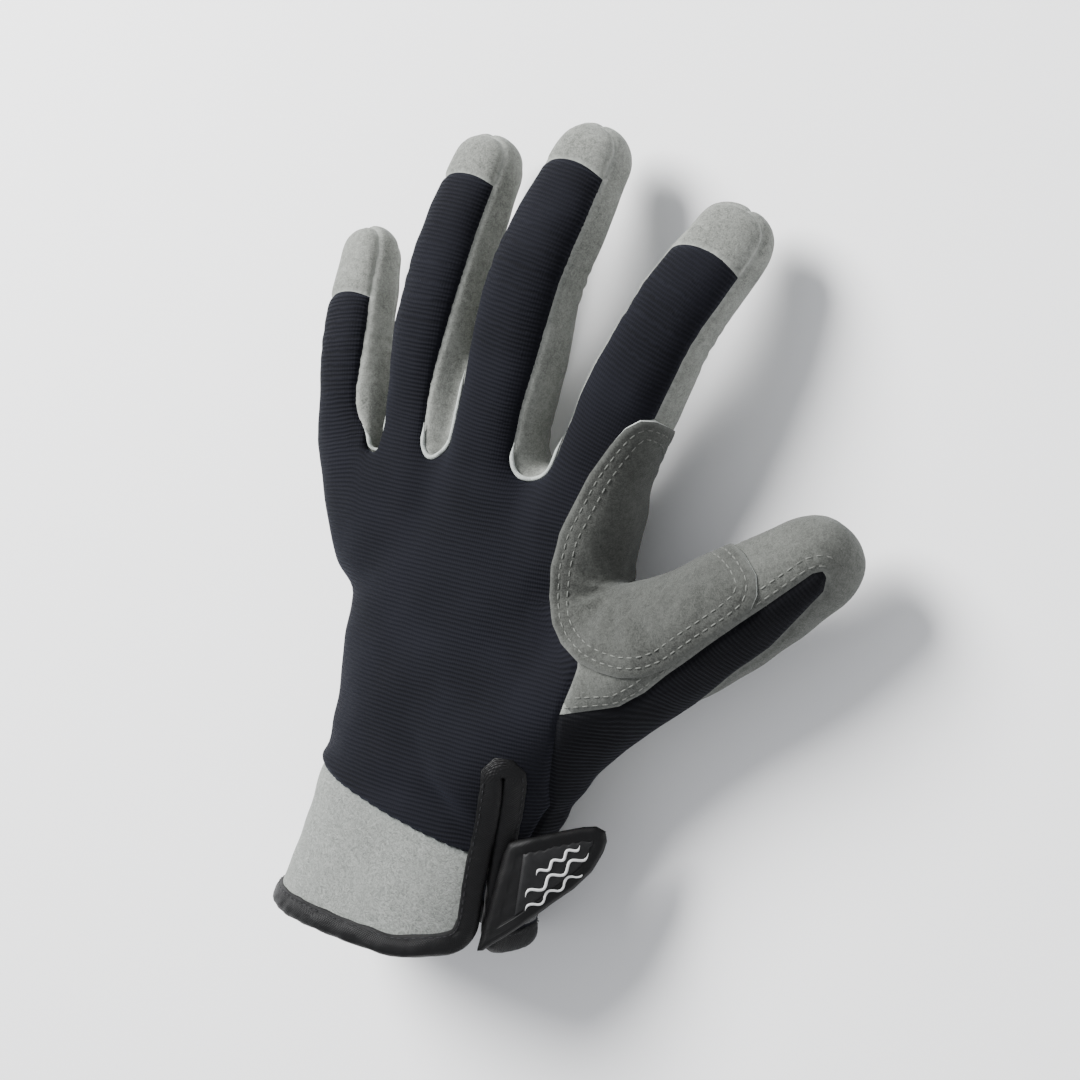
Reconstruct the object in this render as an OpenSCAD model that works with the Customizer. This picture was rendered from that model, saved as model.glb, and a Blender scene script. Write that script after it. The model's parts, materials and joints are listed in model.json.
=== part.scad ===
// Sailing glove for the left hand, palm down, as a set of sewn panels.
// Hand frame: +Y towards the fingers, +X towards the thumb, +Z out of the back of the hand.

/* [Fabric] */
// Thickness of the knit and suede panels
fabric_t = 1.8; // [1.2:0.1:2.4]
// Width of the seam gap that keeps two panels apart
seam_gap = 0.3; // [0.2:0.05:0.6]
// Thickness of the second-layer patches
patch_t = 1.5; // [1:0.1:2]
// Radius of the folded edge binding
binding_r = 2; // [1.2:0.1:2.4]

/* [Fingers: index, middle, ring, little] */
// Distance of each knuckle hinge to the thumb side of the hand's middle
knuckle_x = [34.5, 2, -22.5, -45.5]; // [-60:0.5:60]
// Distance of each knuckle hinge from the middle of the hand, towards the fingertips
knuckle_y = [30, 31, 27, 18]; // [0:0.5:50]
// Height of each finger's middle line at the knuckle
knuckle_z = [25, 26, 25.5, 23.5]; // [20:0.5:32]
// Turn of each finger towards the thumb, in degrees
spread = [21.5, 8.5, 1.5, -13.5]; // [-25:0.5:30]
// Length from the knuckle hinge to the middle hinge
base_length = [37, 42, 38, 28]; // [24:0.5:50]
// Length from the middle hinge to the end of the finger
tip_length = [35, 41, 42, 34]; // [28:0.5:50]
// Upward slope of the base of each finger, in degrees
base_rise = [1, 2.5, 3, 1]; // [0:0.5:8]
// Downward slope of the tip of each finger, in degrees
tip_droop = [19, 18, 17, 18]; // [8:0.5:25]
// Half the width of each finger
finger_w = [11.6, 12, 10.8, 9.5]; // [8:0.1:13]
// Half the thickness of each finger
finger_t = [11.2, 11.4, 10.6, 9.2]; // [8:0.1:13]

/* [Finger movement] */
// Largest bend at a knuckle, in degrees
knuckle_flex = 70; // [30:5:80]
// Largest bend at a finger's middle hinge, in degrees
middle_flex = 75; // [30:5:85]
// Largest backward bend at a knuckle, in degrees
knuckle_back = 12; // [0:1:20]
// Distance of the hinges below a finger's middle line
hinge_drop = 3; // [0:0.5:5]

/* [Thumb] */
// Place of the thumb's base hinge
thumb_base = [52, -21.8, 24.9]; // [-60:0.5:60]
// Turn of the thumb from the fingers' direction, in degrees
thumb_spread = 50.5; // [30:0.5:70]
// Length from the thumb's base hinge to its middle hinge
thumb_base_length = 32; // [26:0.5:45]
// Length from the thumb's middle hinge to its end
thumb_tip_length = 38; // [30:0.5:45]
// Half the thickness of the thumb at its base, middle and end
thumb_r = [16, 13.6, 10.4]; // [9:0.1:18]
// Roll of the thumb's nail side towards the wrist, in degrees
thumb_roll = 60; // [40:1:80]
// Largest bend of the thumb at its base, in degrees
thumb_base_flex = 25; // [10:5:45]
// Largest bend at the thumb's middle hinge, in degrees
thumb_middle_flex = 45; // [20:5:70]

/* [Hand and cuff] */
// Place of the seam between the hand and the cuff
cuff_seam_y = -75; // [-80:1:-60]
// Place of the hem, halfway up the little finger's side
hem_y = -104; // [-125:1:-95]
// Angle round the wrist at which the slit opens, in degrees
slit_angle = 32; // [26:1:50]
// Upper end of the slit
slit_top_y = -54; // [-60:1:-50]
// Gap between the slit's two bindings at the hem
slit_width = 3; // [1:0.5:6]

/* [Closure tab] */
// Place of the tab's sewn edge: its middle
tab_root = [24.4, -86.5, 41.4]; // [-110:0.5:60]
// Length of the tab from its sewn edge to its free end
tab_length = 31; // [24:1:50]
// Width of the tab at its sewn edge
tab_root_w = 27; // [20:1:36]
// Width of the tab at its free end
tab_end_w = 13; // [10:1:24]
// How far the free end is set towards the fingers
tab_sweep = 15; // [0:1:24]
// Downward slope of the tab at rest, in degrees
tab_slope = 40; // [20:1:50]
// Thickness of the tab
tab_t = 1.8; // [1.2:0.1:3]

/* [Hidden] */

KNIT_COLOUR = [0.09, 0.10, 0.14];
SUEDE_COLOUR = [0.58, 0.60, 0.58];
TRIM_COLOUR = [0.06, 0.06, 0.07];
PAD_COLOUR = [0.14, 0.14, 0.15];

INDEX = 0;
MIDDLE = 1;
RING = 2;
LITTLE = 3;
// seams round a finger, in degrees from its thumb side over its back
BACK_SEAMS = [35, 145];
PALM_SEAMS = [220, 320];
THUMB_SEAMS = [35, 135];
// seams round the hand, in the same way
OUTER_SEAM = 172;
RADIAL_SEAM = 44;
THUMB_SIDE_SEAM = -28;
// stretch of the hand's side that the thumb opens from
THUMB_FROM_Y = -47;
THUMB_TO_Y = -3;
STUB_LENGTH = 14;
// room between a middle hinge and the tip's own sheets, because the tip slopes down from it
TIP_GAP = 1.2;
// squareness of the rounded sections
ROUNDING = 2.5;

// half width, middle, top and underside of the hand, each along its length
HAND_HALF_W = [
    [-122, 38.5], [-110, 37.5], [-75, 34], [-50, 35], [-20, 38.5], [0, 42], [6, 44.5], [15, 47], [28, 48]
];
HAND_MID_X = [
    [-122, -14], [-110, -11], [-75, -5], [-50, -2.5], [-20, -0.5], [0, -3], [6, -5], [15, -6.5], [28, -8]
];
HAND_TOP = [[-122, 49.5], [-110, 49], [-75, 47], [-50, 45], [-20, 42], [0, 39], [15, 37], [28, 36]];
HAND_UNDER = [[-122, 2], [-6, 2], [8, 7], [20, 13], [28, 14]];
// where the hand ends towards the fingers, across its width
FINGER_EDGE = [[-60, 9], [-48, 10], [-34, 14], [-15, 20], [14, 20], [45, 18]];
// the hand frame's origin seen from the middle of the whole glove
ROW_SHIFT = [-21.97, 0.59, 0];

function lerp(a, b, t) = a + (b - a) * t;
function unit(v) = v / norm(v);
function turn_about(v, axis, a) =
    v * cos(a) + cross(axis, v) * sin(a) + axis * (axis * v) * (1 - cos(a));
// cosine or sine of a rounded box instead of a circle
function boxed(c, m = ROUNDING) = sign(c) * pow(abs(c), 2 / m);

// ---- closed sheet between an outer and an inner grid of points ----
module sheet(outer, inner) {
    rows = len(outer);
    cols = len(outer[0]);
    count = rows * cols;
    points = [for (g = [outer, inner]) for (row = g) for (p = row) p];
    faces = [for (i = [0:rows - 2]) for (j = [0:cols - 2])
        let (a = i * cols + j, b = a + 1, c = a + cols, d = c + 1)
        each [[a, b, d], [a, d, c], [count + a, count + d, count + b], [count + a, count + c, count + d]]];
    first = [for (j = [0:cols - 2])
        each [[j, count + j, count + j + 1], [j, count + j + 1, j + 1]]];
    last = [for (j = [0:cols - 2]) let (a = (rows - 1) * cols + j)
        each [[a, a + 1, count + a + 1], [a, count + a + 1, count + a]]];
    left = [for (i = [0:rows - 2]) let (a = i * cols)
        each [[a, a + cols, count + a + cols], [a, count + a + cols, count + a]]];
    right = [for (i = [0:rows - 2]) let (a = i * cols + cols - 1)
        each [[a, count + a + cols, a + cols], [a, count + a, count + a + cols]]];
    polyhedron(points, concat(faces, first, last, left, right), convexity = 6);
}

// ---- round rod along a list of points ----
module rod(path, r, sides = 8) {
    n = len(path);
    tangents = [for (i = [0:n - 1]) unit(path[min(i + 1, n - 1)] - path[max(i - 1, 0)])];
    points = [for (i = [0:n - 1])
        let (a = unit(cross(tangents[i], [0.13, 0.2, 1])), b = cross(tangents[i], a))
        for (k = [0:sides - 1]) path[i] + r * (a * cos(360 * k / sides) + b * sin(360 * k / sides))];
    wall = [for (i = [0:n - 2]) for (k = [0:sides - 1])
        let (a = i * sides + k, b = i * sides + (k + 1) % sides)
        each [[a, b + sides, b], [a, a + sides, b + sides]]];
    ends = [[for (k = [0:sides - 1]) k], [for (k = [sides - 1:-1:0]) (n - 1) * sides + k]];
    polyhedron(points, concat(wall, ends), convexity = 6);
}

// ---- fingers and thumb: tubes about straight middle lines ----
// A tube is [start, direction, roll, length, [half width, half thickness] at its start and end,
// [flex, backward bend] at its start and end].
function heading(turn, rise) = [sin(turn) * cos(rise), cos(turn) * cos(rise), sin(rise)];
function back_normal(d, roll) = turn_about(unit([0, 0, 1] - d * d[2]), d, roll);
function finger_size(f, share) = [finger_w[f], finger_t[f]] * share;
function knuckle(f) = [knuckle_x[f], knuckle_y[f], knuckle_z[f]];
function middle_hinge(f) = knuckle(f) + base_length[f] * heading(spread[f], base_rise[f]);
knuckle_bend = [knuckle_flex / 2, knuckle_back / 2];
function middle_bend(f) = [(middle_flex + tip_droop[f] + base_rise[f]) / 2 + 1, 1];

function root_tube(f) =
    let (d = heading(spread[f], base_rise[f]))
    [knuckle(f) - STUB_LENGTH * d, d, 0, STUB_LENGTH, finger_size(f, 1), finger_size(f, 1),
     [0, 0], knuckle_bend];
function base_tube(f) =
    [knuckle(f), heading(spread[f], base_rise[f]), 0, base_length[f],
     finger_size(f, 1), finger_size(f, 0.97), knuckle_bend, middle_bend(f)];
function tip_tube(f) =
    [middle_hinge(f) + TIP_GAP * heading(spread[f], -tip_droop[f]), heading(spread[f], -tip_droop[f]), 0,
     tip_length[f] - TIP_GAP,
     finger_size(f, 0.97), finger_size(f, 0.8), middle_bend(f), [0, 0]];

thumb_heading = heading(thumb_spread, -1);
thumb_tip_heading = heading(thumb_spread + 2, -5);
thumb_middle = thumb_base + thumb_base_length * thumb_heading;
thumb_base_bend = [thumb_base_flex / 2, 4];
thumb_middle_bend = [thumb_middle_flex / 2 + 3, 4];
thumb_base_tube =
    [thumb_base, thumb_heading, thumb_roll, thumb_base_length,
     [thumb_r[0], thumb_r[0]], [thumb_r[1], thumb_r[1]], thumb_base_bend, thumb_middle_bend];
thumb_tip_tube =
    [thumb_middle + TIP_GAP * thumb_tip_heading, thumb_tip_heading, thumb_roll, thumb_tip_length - TIP_GAP,
     [thumb_r[1], thumb_r[1]], [thumb_r[2], thumb_r[2]], thumb_middle_bend, [0, 0]];
thumb_ring_tube =
    [thumb_base - 10 * thumb_heading, thumb_heading, thumb_roll, 10,
     [thumb_r[0], thumb_r[0]], [thumb_r[0], thumb_r[0]], [0, 0], thumb_base_bend];

// how far an end is cut back at a height above the middle line, so that the tube can bend there
function cut_back(height, bend) =
    seam_gap + max(0, -(height + hinge_drop)) * tan(bend[0]) + max(0, height + hinge_drop) * tan(bend[1]);

// point of a tube at a share of its length and an angle round it, inset from its surface
function tube_point(tube, share, angle, inset, round_end) =
    let (
        d = tube[1],
        back = back_normal(d, tube[2]),
        side = cross(d, back),
        size = lerp(tube[4], tube[5], share),
        x = round_end ? max(0, (share - 0.68) / 0.32) : 0,
        shrink = pow(max(0, 1 - pow(x, 2.4)), 1 / 2.4),
        u = max(0.4, size[0] * shrink - inset) * boxed(cos(angle)),
        v = max(0.4, size[1] * shrink - inset) * boxed(sin(angle)),
        from = tube[6] == [0, 0] ? 0 : cut_back(v, tube[6]),
        to = tube[3] - (round_end ? inset : cut_back(v, tube[7]))
    )
    tube[0] + d * lerp(from, to, share) + side * u + back * v;

module tube_sheet(tube, seams, shares, inset = 0, thick = fabric_t, round_end = false) {
    margin = seam_gap / 2 / tube[4][0] * 57.3;
    steps = max(3, ceil((seams[1] - seams[0]) / 19));
    angles = [for (k = [0:steps]) lerp(seams[0] + margin, seams[1] - margin, k / steps)];
    sheet([for (s = shares) [for (a = angles) tube_point(tube, s, a, inset, round_end)]],
          [for (s = shares) [for (a = angles) tube_point(tube, s, a, inset + thick, round_end)]]);
}

BASE_SHARES = [0, 0.33, 0.66, 1];
STRIP_SHARES = [0, 0.22, 0.44];
CAP_SHARES = [0.45, 0.56, 0.68, 0.8, 0.9, 0.965, 1];
TIP_SHARES = concat([0, 0.22], CAP_SHARES);

module finger_base(f, seams) {
    tube_sheet(base_tube(f), seams, BASE_SHARES);
}
module finger_tip(f, seams, shares = TIP_SHARES) {
    tube_sheet(tip_tube(f), seams, shares, round_end = true);
}
// the palm piece runs up the index finger's thumb side and the little finger's outer side
function palm_seams(f) =
    [f == LITTLE ? BACK_SEAMS[1] : PALM_SEAMS[0], f == INDEX ? BACK_SEAMS[0] + 360 : PALM_SEAMS[1]];
// a side wall faces in to the thumb or out to the little finger
IN_SEAMS = [PALM_SEAMS[1] - 360, BACK_SEAMS[0]];
OUT_SEAMS = [BACK_SEAMS[1], PALM_SEAMS[0]];

module finger_base_back(f) {
    color(KNIT_COLOUR) finger_base(f, BACK_SEAMS);
}
module finger_base_palm(f) {
    color(SUEDE_COLOUR) finger_base(f, palm_seams(f));
}
module finger_base_side(f, seams) {
    color(SUEDE_COLOUR) finger_base(f, seams);
}
module finger_tip_back(f) {
    color(KNIT_COLOUR) finger_tip(f, BACK_SEAMS, STRIP_SHARES);
}
module finger_tip_palm(f) {
    color(SUEDE_COLOUR) finger_tip(f, palm_seams(f));
}
module finger_tip_side(f, seams) {
    color(SUEDE_COLOUR) finger_tip(f, seams);
}
module finger_cap(f) {
    color(SUEDE_COLOUR) finger_tip(f, BACK_SEAMS, CAP_SHARES);
}

// ---- hand and cuff: one long tube ----
function hand_point(y, angle, inset) =
    let (
        half_w = lookup(y, HAND_HALF_W) - inset,
        top = lookup(y, HAND_TOP) - inset,
        under = lookup(y, HAND_UNDER) + inset
    )
    [lookup(y, HAND_MID_X) + half_w * boxed(cos(angle)), y,
     lerp(under, top, 0.5) + (top - under) / 2 * boxed(sin(angle))];
function finger_edge(angle) = lookup(hand_point(10, angle, 0)[0], FINGER_EDGE);
function hem_edge(angle) = hem_y - 2.5 * sin(angle) + 4 * cos(angle);
// angle of a line beside the slit, at a distance from the slit's own edge
function slit_side(y, side, beyond) =
    let (half = seam_gap / 2 + max(0, slit_top_y - y) / (slit_top_y - hem_y) * slit_width / 2)
    slit_angle + side * (half + beyond) / lookup(y, HAND_HALF_W) * 75;
// the panels leave room for the binding, and above the slit the back panel ends at the thumb's opening
function slit_edge(y, side) =
    lerp(slit_side(y, side, 2 * binding_r + 0.4), RADIAL_SEAM + 0.3,
         min(1, max(0, (y - THUMB_FROM_Y) / 8)));

// a seam is an angle round the hand, or one side of the slit
function seam_angle(seam, y) =
    seam == "slit far" ? slit_edge(y, 1)
    : seam == "slit near" ? slit_edge(y, -1)
    : seam;
function hand_row(seams, from, to, share, steps, inset) =
    [for (k = [0:steps])
        let (
            low = lerp(seam_angle(seams[0], hem_y), seam_angle(seams[1], hem_y), k / steps),
            high = lerp(seam_angle(seams[0], 0), seam_angle(seams[1], 0), k / steps),
            y0 = from == "hem" ? hem_edge(low) : from,
            y1 = to == "fingers" ? finger_edge(high) : to,
            y = lerp(y0, y1, share),
            angle = lerp(seam_angle(seams[0], y), seam_angle(seams[1], y), k / steps)
        )
        hand_point(y, angle, inset)];
module hand_sheet(seams, from, to, rows, steps, inset = 0, thick = fabric_t) {
    sheet([for (i = [0:rows]) hand_row(seams, from, to, i / rows, steps, inset)],
          [for (i = [0:rows]) hand_row(seams, from, to, i / rows, steps, inset + thick)]);
}
// the stretch of the hand that reaches up to a finger's knuckle hinge
module finger_root(f, seams) {
    tube_sheet(root_tube(f), seams, [0, 0.5, 1]);
}

module back_panel() {
    color(KNIT_COLOUR) {
        hand_sheet(["slit far", OUTER_SEAM], cuff_seam_y + seam_gap, "fingers", 12, 9);
        for (f = [INDEX:LITTLE]) finger_root(f, BACK_SEAMS);
    }
}
module thumb_side_panel() {
    color(KNIT_COLOUR)
        hand_sheet([THUMB_SIDE_SEAM, "slit near"], cuff_seam_y + seam_gap, THUMB_FROM_Y, 3, 5);
}
module index_side_panel() {
    color(SUEDE_COLOUR) {
        hand_sheet([THUMB_SIDE_SEAM, RADIAL_SEAM - 0.6], THUMB_TO_Y, 15, 3, 5);
        finger_root(INDEX, IN_SEAMS);
    }
}
module palm_panel() {
    color(SUEDE_COLOUR) {
        hand_sheet([OUTER_SEAM + 0.6, 359.4 + THUMB_SIDE_SEAM], cuff_seam_y + seam_gap, "fingers", 8, 10);
        for (f = [INDEX:RING]) finger_root(f, PALM_SEAMS);
        finger_root(LITTLE, palm_seams(LITTLE));
    }
}
module palm_patch() {
    color(SUEDE_COLOUR)
        linear_extrude(patch_t)
            hull() {
                translate([-22, -50]) circle(r = 9);
                translate([14, -50]) circle(r = 9);
                translate([-26, -16]) circle(r = 9);
                translate([20, -16]) circle(r = 9);
            }
}
// second layer over the hand's side of the thumb crotch
module saddle_patch() {
    color(SUEDE_COLOUR)
        hand_sheet([THUMB_SIDE_SEAM + 4, RADIAL_SEAM + 8], THUMB_TO_Y + 0.5, 8.5, 2, 6,
                   inset = -patch_t - seam_gap, thick = patch_t);
}
module cuff_band() {
    color(SUEDE_COLOUR) hand_sheet(["slit far", OUTER_SEAM], "hem", cuff_seam_y, 3, 9);
}
module cuff_flap() {
    color(KNIT_COLOUR) hand_sheet([THUMB_SIDE_SEAM, "slit near"], "hem", cuff_seam_y, 3, 5);
}
module cuff_palm() {
    color(KNIT_COLOUR) hand_sheet([OUTER_SEAM + 0.6, 359.4 + THUMB_SIDE_SEAM], "hem", cuff_seam_y, 3, 10);
}
module loop_pad() {
    color(PAD_COLOUR)
        hand_sheet([THUMB_SIDE_SEAM + 2, 14], -94, -76, 2, 4, inset = -1.2 - seam_gap, thick = 1.2);
}

// folded binding round the hem, from one side of the slit to the other
module cuff_binding() {
    steps = 34;
    path = [for (k = [0:steps])
        let (angle = lerp(slit_edge(hem_y, 1), 360 + slit_edge(hem_y, -1), k / steps))
        hand_point(hem_edge(angle), angle, fabric_t / 2) - [0, binding_r + seam_gap, 0]];
    color(TRIM_COLOUR) rod(path, binding_r);
}
// folded binding up one side of the slit, round its top and down the other side
module slit_binding() {
    sides = [for (side = [1, -1]) [for (k = [0:8])
        let (y = lerp(hem_y + 3, slit_top_y, k / 8))
        hand_point(y, slit_side(y, side, binding_r), fabric_t / 2)]];
    bend = [for (a = [30:30:150])
        hand_point(slit_top_y + 3.4 * sin(a), slit_side(slit_top_y, cos(a), binding_r), fabric_t / 2)];
    color(TRIM_COLOUR) rod(concat(sides[0], bend, [for (k = [8:-1:0]) sides[1][k]]), binding_r);
}

// ---- webs: the turned middle of the side strip that two fingers share ----
function side_point(f, side) =
    let (d = heading(spread[f], 0))
    knuckle(f) - 2.5 * d + side * (finger_w[f] - fabric_t / 2) * [d[1], -d[0], 0];
module web(f) {
    a = side_point(f, -1);
    b = side_point(f + 1, 1);
    gap = norm([a[0] - b[0], a[1] - b[1]]);
    middle = (a + b) / 2;
    height = finger_t[f + 1];
    color(SUEDE_COLOUR)
        translate([middle[0], middle[1], middle[2] - height / 2])
            rotate(atan2(a[1] - b[1], a[0] - b[0]))
                linear_extrude(height)
                    difference() {
                        circle(r = gap / 2 + fabric_t / 2, $fn = 32);
                        circle(r = max(0.6, gap / 2 - fabric_t / 2), $fn = 32);
                        translate([-gap, 0]) square([2 * gap, gap]);
                    }
}

// ---- thumb ----
// rim of the opening in the hand's side, met at an angle round the thumb
function opening_point(angle, inset) =
    let (
        back = back_normal(thumb_heading, thumb_roll),
        out = cross(thumb_heading, back) * cos(angle) + back * sin(angle),
        turn = atan2(out[2], out[1]),
        half_y = (THUMB_TO_Y - THUMB_FROM_Y) / 2 - seam_gap - inset,
        half_angle = (RADIAL_SEAM - THUMB_SIDE_SEAM) / 2 - 0.6 - 1.4 * inset
    )
    hand_point((THUMB_FROM_Y + THUMB_TO_Y) / 2 + half_y * boxed(cos(turn), 5),
               (THUMB_SIDE_SEAM + RADIAL_SEAM) / 2 + half_angle * boxed(sin(turn), 5), 0);
module thumb_root(seams) {
    steps = ceil((seams[1] - seams[0]) / 13);
    angles = [for (k = [0:steps]) lerp(seams[0] + 0.5, seams[1] - 0.5, k / steps)];
    sheets = [for (inset = [0, fabric_t]) [for (s = [0:0.25:1]) [for (a = angles)
        lerp(opening_point(a, inset), tube_point(thumb_ring_tube, 1, a, inset, false), s)]]];
    sheet(sheets[0], sheets[1]);
}
WRAP_SEAMS = [THUMB_SEAMS[1], THUMB_SEAMS[0] + 360];

module thumb_root_back() {
    color(KNIT_COLOUR) thumb_root(THUMB_SEAMS);
}
module thumb_root_wrap() {
    color(SUEDE_COLOUR) thumb_root(WRAP_SEAMS);
}
module thumb_base_back() {
    color(KNIT_COLOUR) tube_sheet(thumb_base_tube, THUMB_SEAMS, BASE_SHARES);
}
module thumb_base_wrap() {
    color(SUEDE_COLOUR) tube_sheet(thumb_base_tube, WRAP_SEAMS, BASE_SHARES);
}
// second layer over the thumb's side of the thumb crotch
module thumb_patch() {
    color(SUEDE_COLOUR)
        tube_sheet(thumb_base_tube, [165, 300], [0.1, 0.4, 0.75],
                   inset = -patch_t - seam_gap, thick = patch_t);
}
module thumb_tip_back() {
    color(KNIT_COLOUR) tube_sheet(thumb_tip_tube, THUMB_SEAMS, STRIP_SHARES, round_end = true);
}
module thumb_tip_wrap() {
    color(SUEDE_COLOUR) tube_sheet(thumb_tip_tube, WRAP_SEAMS, TIP_SHARES, round_end = true);
}
module thumb_cap() {
    color(SUEDE_COLOUR) tube_sheet(thumb_tip_tube, THUMB_SEAMS, CAP_SHARES, round_end = true);
}

// ---- closure tab, sewn along the slit's far side ----
module on_tab() {
    translate(tab_root)
        rotate([0, tab_slope, 0])
            children();
}
module tab_outline(inset = 0, start = 0) {
    offset(r = -inset)
        hull() {
            translate([start, -tab_root_w / 2]) square([1, tab_root_w]);
            translate([tab_length - 6, tab_sweep + tab_end_w / 2 - 6]) circle(r = 6);
            translate([tab_length - 7, tab_sweep - tab_end_w / 2 + 6]) circle(r = 6);
        }
}
module closure_tab() {
    color(TRIM_COLOUR) on_tab() linear_extrude(tab_t) tab_outline();
}
module tab_label() {
    color(TRIM_COLOUR) on_tab() translate([0, 0, tab_t + 0.1]) linear_extrude(0.8) tab_outline(3);
}
module hook_pad() {
    color(PAD_COLOUR)
        on_tab()
            translate([0, 0, -1.2])
                linear_extrude(1.1)
                    intersection() {
                        tab_outline(2.5);
                        translate([11, -40]) square([60, 80]);
                    }
}

// ---- the glove, with the middle of its underside at the origin ----
translate(ROW_SHIFT) {
    back_panel();
    thumb_side_panel();
    index_side_panel();
    palm_panel();
    palm_patch();
    saddle_patch();
    thumb_root_back();
    thumb_root_wrap();
    web(INDEX);  // web_index_middle
    web(MIDDLE);  // web_middle_ring
    web(RING);  // web_ring_little
    cuff_band();
    cuff_flap();
    cuff_palm();
    loop_pad();
    cuff_binding();
    slit_binding();
    finger_base_back(INDEX);  // index_base_back
    finger_base_palm(INDEX);  // index_base_palm
    finger_base_side(INDEX, OUT_SEAMS);  // index_base_out
    finger_tip_back(INDEX);  // index_tip_back
    finger_tip_palm(INDEX);  // index_tip_palm
    finger_tip_side(INDEX, OUT_SEAMS);  // index_tip_out
    finger_cap(INDEX);  // index_cap
    finger_base_back(MIDDLE);  // middle_base_back
    finger_base_palm(MIDDLE);  // middle_base_palm
    finger_base_side(MIDDLE, IN_SEAMS);  // middle_base_in
    finger_base_side(MIDDLE, OUT_SEAMS);  // middle_base_out
    finger_tip_back(MIDDLE);  // middle_tip_back
    finger_tip_palm(MIDDLE);  // middle_tip_palm
    finger_tip_side(MIDDLE, IN_SEAMS);  // middle_tip_in
    finger_tip_side(MIDDLE, OUT_SEAMS);  // middle_tip_out
    finger_cap(MIDDLE);  // middle_cap
    finger_base_back(RING);  // ring_base_back
    finger_base_palm(RING);  // ring_base_palm
    finger_base_side(RING, IN_SEAMS);  // ring_base_in
    finger_base_side(RING, OUT_SEAMS);  // ring_base_out
    finger_tip_back(RING);  // ring_tip_back
    finger_tip_palm(RING);  // ring_tip_palm
    finger_tip_side(RING, IN_SEAMS);  // ring_tip_in
    finger_tip_side(RING, OUT_SEAMS);  // ring_tip_out
    finger_cap(RING);  // ring_cap
    finger_base_back(LITTLE);  // little_base_back
    finger_base_palm(LITTLE);  // little_base_palm
    finger_base_side(LITTLE, IN_SEAMS);  // little_base_in
    finger_tip_back(LITTLE);  // little_tip_back
    finger_tip_palm(LITTLE);  // little_tip_palm
    finger_tip_side(LITTLE, IN_SEAMS);  // little_tip_in
    finger_cap(LITTLE);  // little_cap
    thumb_base_back();
    thumb_base_wrap();
    thumb_patch();
    thumb_tip_back();
    thumb_tip_wrap();
    thumb_cap();
    closure_tab();
    tab_label();
    hook_pad();
}
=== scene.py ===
"""A sailing glove for the left hand, palm down, sewn from knit and suede panels."""
import json
import math

import bpy
import numpy as np
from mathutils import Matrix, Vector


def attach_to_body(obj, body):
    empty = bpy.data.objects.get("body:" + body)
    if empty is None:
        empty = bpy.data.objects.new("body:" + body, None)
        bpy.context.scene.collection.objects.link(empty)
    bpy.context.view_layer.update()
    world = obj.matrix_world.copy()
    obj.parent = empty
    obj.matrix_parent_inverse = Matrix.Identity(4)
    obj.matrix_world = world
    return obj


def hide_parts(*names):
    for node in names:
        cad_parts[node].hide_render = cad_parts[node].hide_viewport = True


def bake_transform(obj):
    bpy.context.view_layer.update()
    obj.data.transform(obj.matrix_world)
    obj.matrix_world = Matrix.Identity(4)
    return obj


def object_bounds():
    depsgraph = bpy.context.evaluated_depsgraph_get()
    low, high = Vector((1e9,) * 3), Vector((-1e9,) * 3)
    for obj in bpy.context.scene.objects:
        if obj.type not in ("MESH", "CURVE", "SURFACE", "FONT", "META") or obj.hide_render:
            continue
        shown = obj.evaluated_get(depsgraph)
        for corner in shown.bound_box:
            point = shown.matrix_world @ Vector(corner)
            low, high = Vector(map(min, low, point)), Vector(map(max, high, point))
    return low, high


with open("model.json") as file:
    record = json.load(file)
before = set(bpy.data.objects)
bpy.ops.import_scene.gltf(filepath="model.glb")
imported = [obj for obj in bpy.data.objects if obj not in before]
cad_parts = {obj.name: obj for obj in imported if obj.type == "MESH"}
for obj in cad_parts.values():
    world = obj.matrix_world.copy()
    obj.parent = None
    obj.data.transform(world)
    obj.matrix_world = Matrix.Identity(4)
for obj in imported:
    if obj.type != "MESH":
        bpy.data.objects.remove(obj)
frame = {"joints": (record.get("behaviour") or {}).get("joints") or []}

import openvdb
from mathutils import Matrix, Vector
from mathutils.kdtree import KDTree

CAD_BOX = [[float(c) for c in corner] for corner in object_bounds()]
MM = 0.001
UP = np.array([0.0, 0.0, 1.0])


# ---- small maths ----
def vec(*values):
    return np.array(values, float)


def unit(v):
    return v / np.maximum(np.linalg.norm(v, axis=-1, keepdims=True), 1e-12)


def smin(a, b, k):
    h = np.clip(0.5 + 0.5 * (b - a) / k, 0, 1)
    return b * (1 - h) + a * h - k * h * (1 - h)


def smooth(x, lo, hi):
    t = np.clip((x - lo) / (hi - lo), 0, 1)
    return t * t * (3 - 2 * t)


def curve(points, per_span):
    """Smooth line through the points."""
    p = np.array(points, float)
    p = np.vstack([2 * p[0] - p[1], p, 2 * p[-1] - p[-2]])
    t = np.linspace(0, 1, per_span, endpoint=False)[:, None]
    spans = []
    for i in range(1, len(p) - 2):
        a, b, c, d = p[i - 1:i + 3]
        spans.append(0.5 * (2 * b + (c - a) * t + (2 * a - 5 * b + 4 * c - d) * t ** 2
                            + (3 * b - a - 3 * c + d) * t ** 3))
    return np.vstack(spans + [p[-2:-1]])


def waves(p, lengths, seed):
    """Smooth unevenness between about -1 and 1, as a sum of plane waves."""
    rng = np.random.default_rng(seed)
    total = np.zeros(len(p))
    for length in lengths:
        for _ in range(3):
            d = unit(rng.normal(size=3))
            total += np.sin(p @ d * 2 * math.pi / (length * rng.uniform(0.8, 1.2)) + rng.uniform(0, 6.3))
    return total / math.sqrt(4.5 * len(lengths))


def line_gap(p, line):
    """Distance from points to a line of straight spans."""
    best = np.full(len(p), 1e9)
    for a, b in zip(line[:-1], line[1:]):
        t = np.clip((p - a) @ (b - a) / ((b - a) @ (b - a)), 0, 1)
        best = np.minimum(best, np.linalg.norm(p - a - t[:, None] * (b - a), axis=1))
    return best


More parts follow.
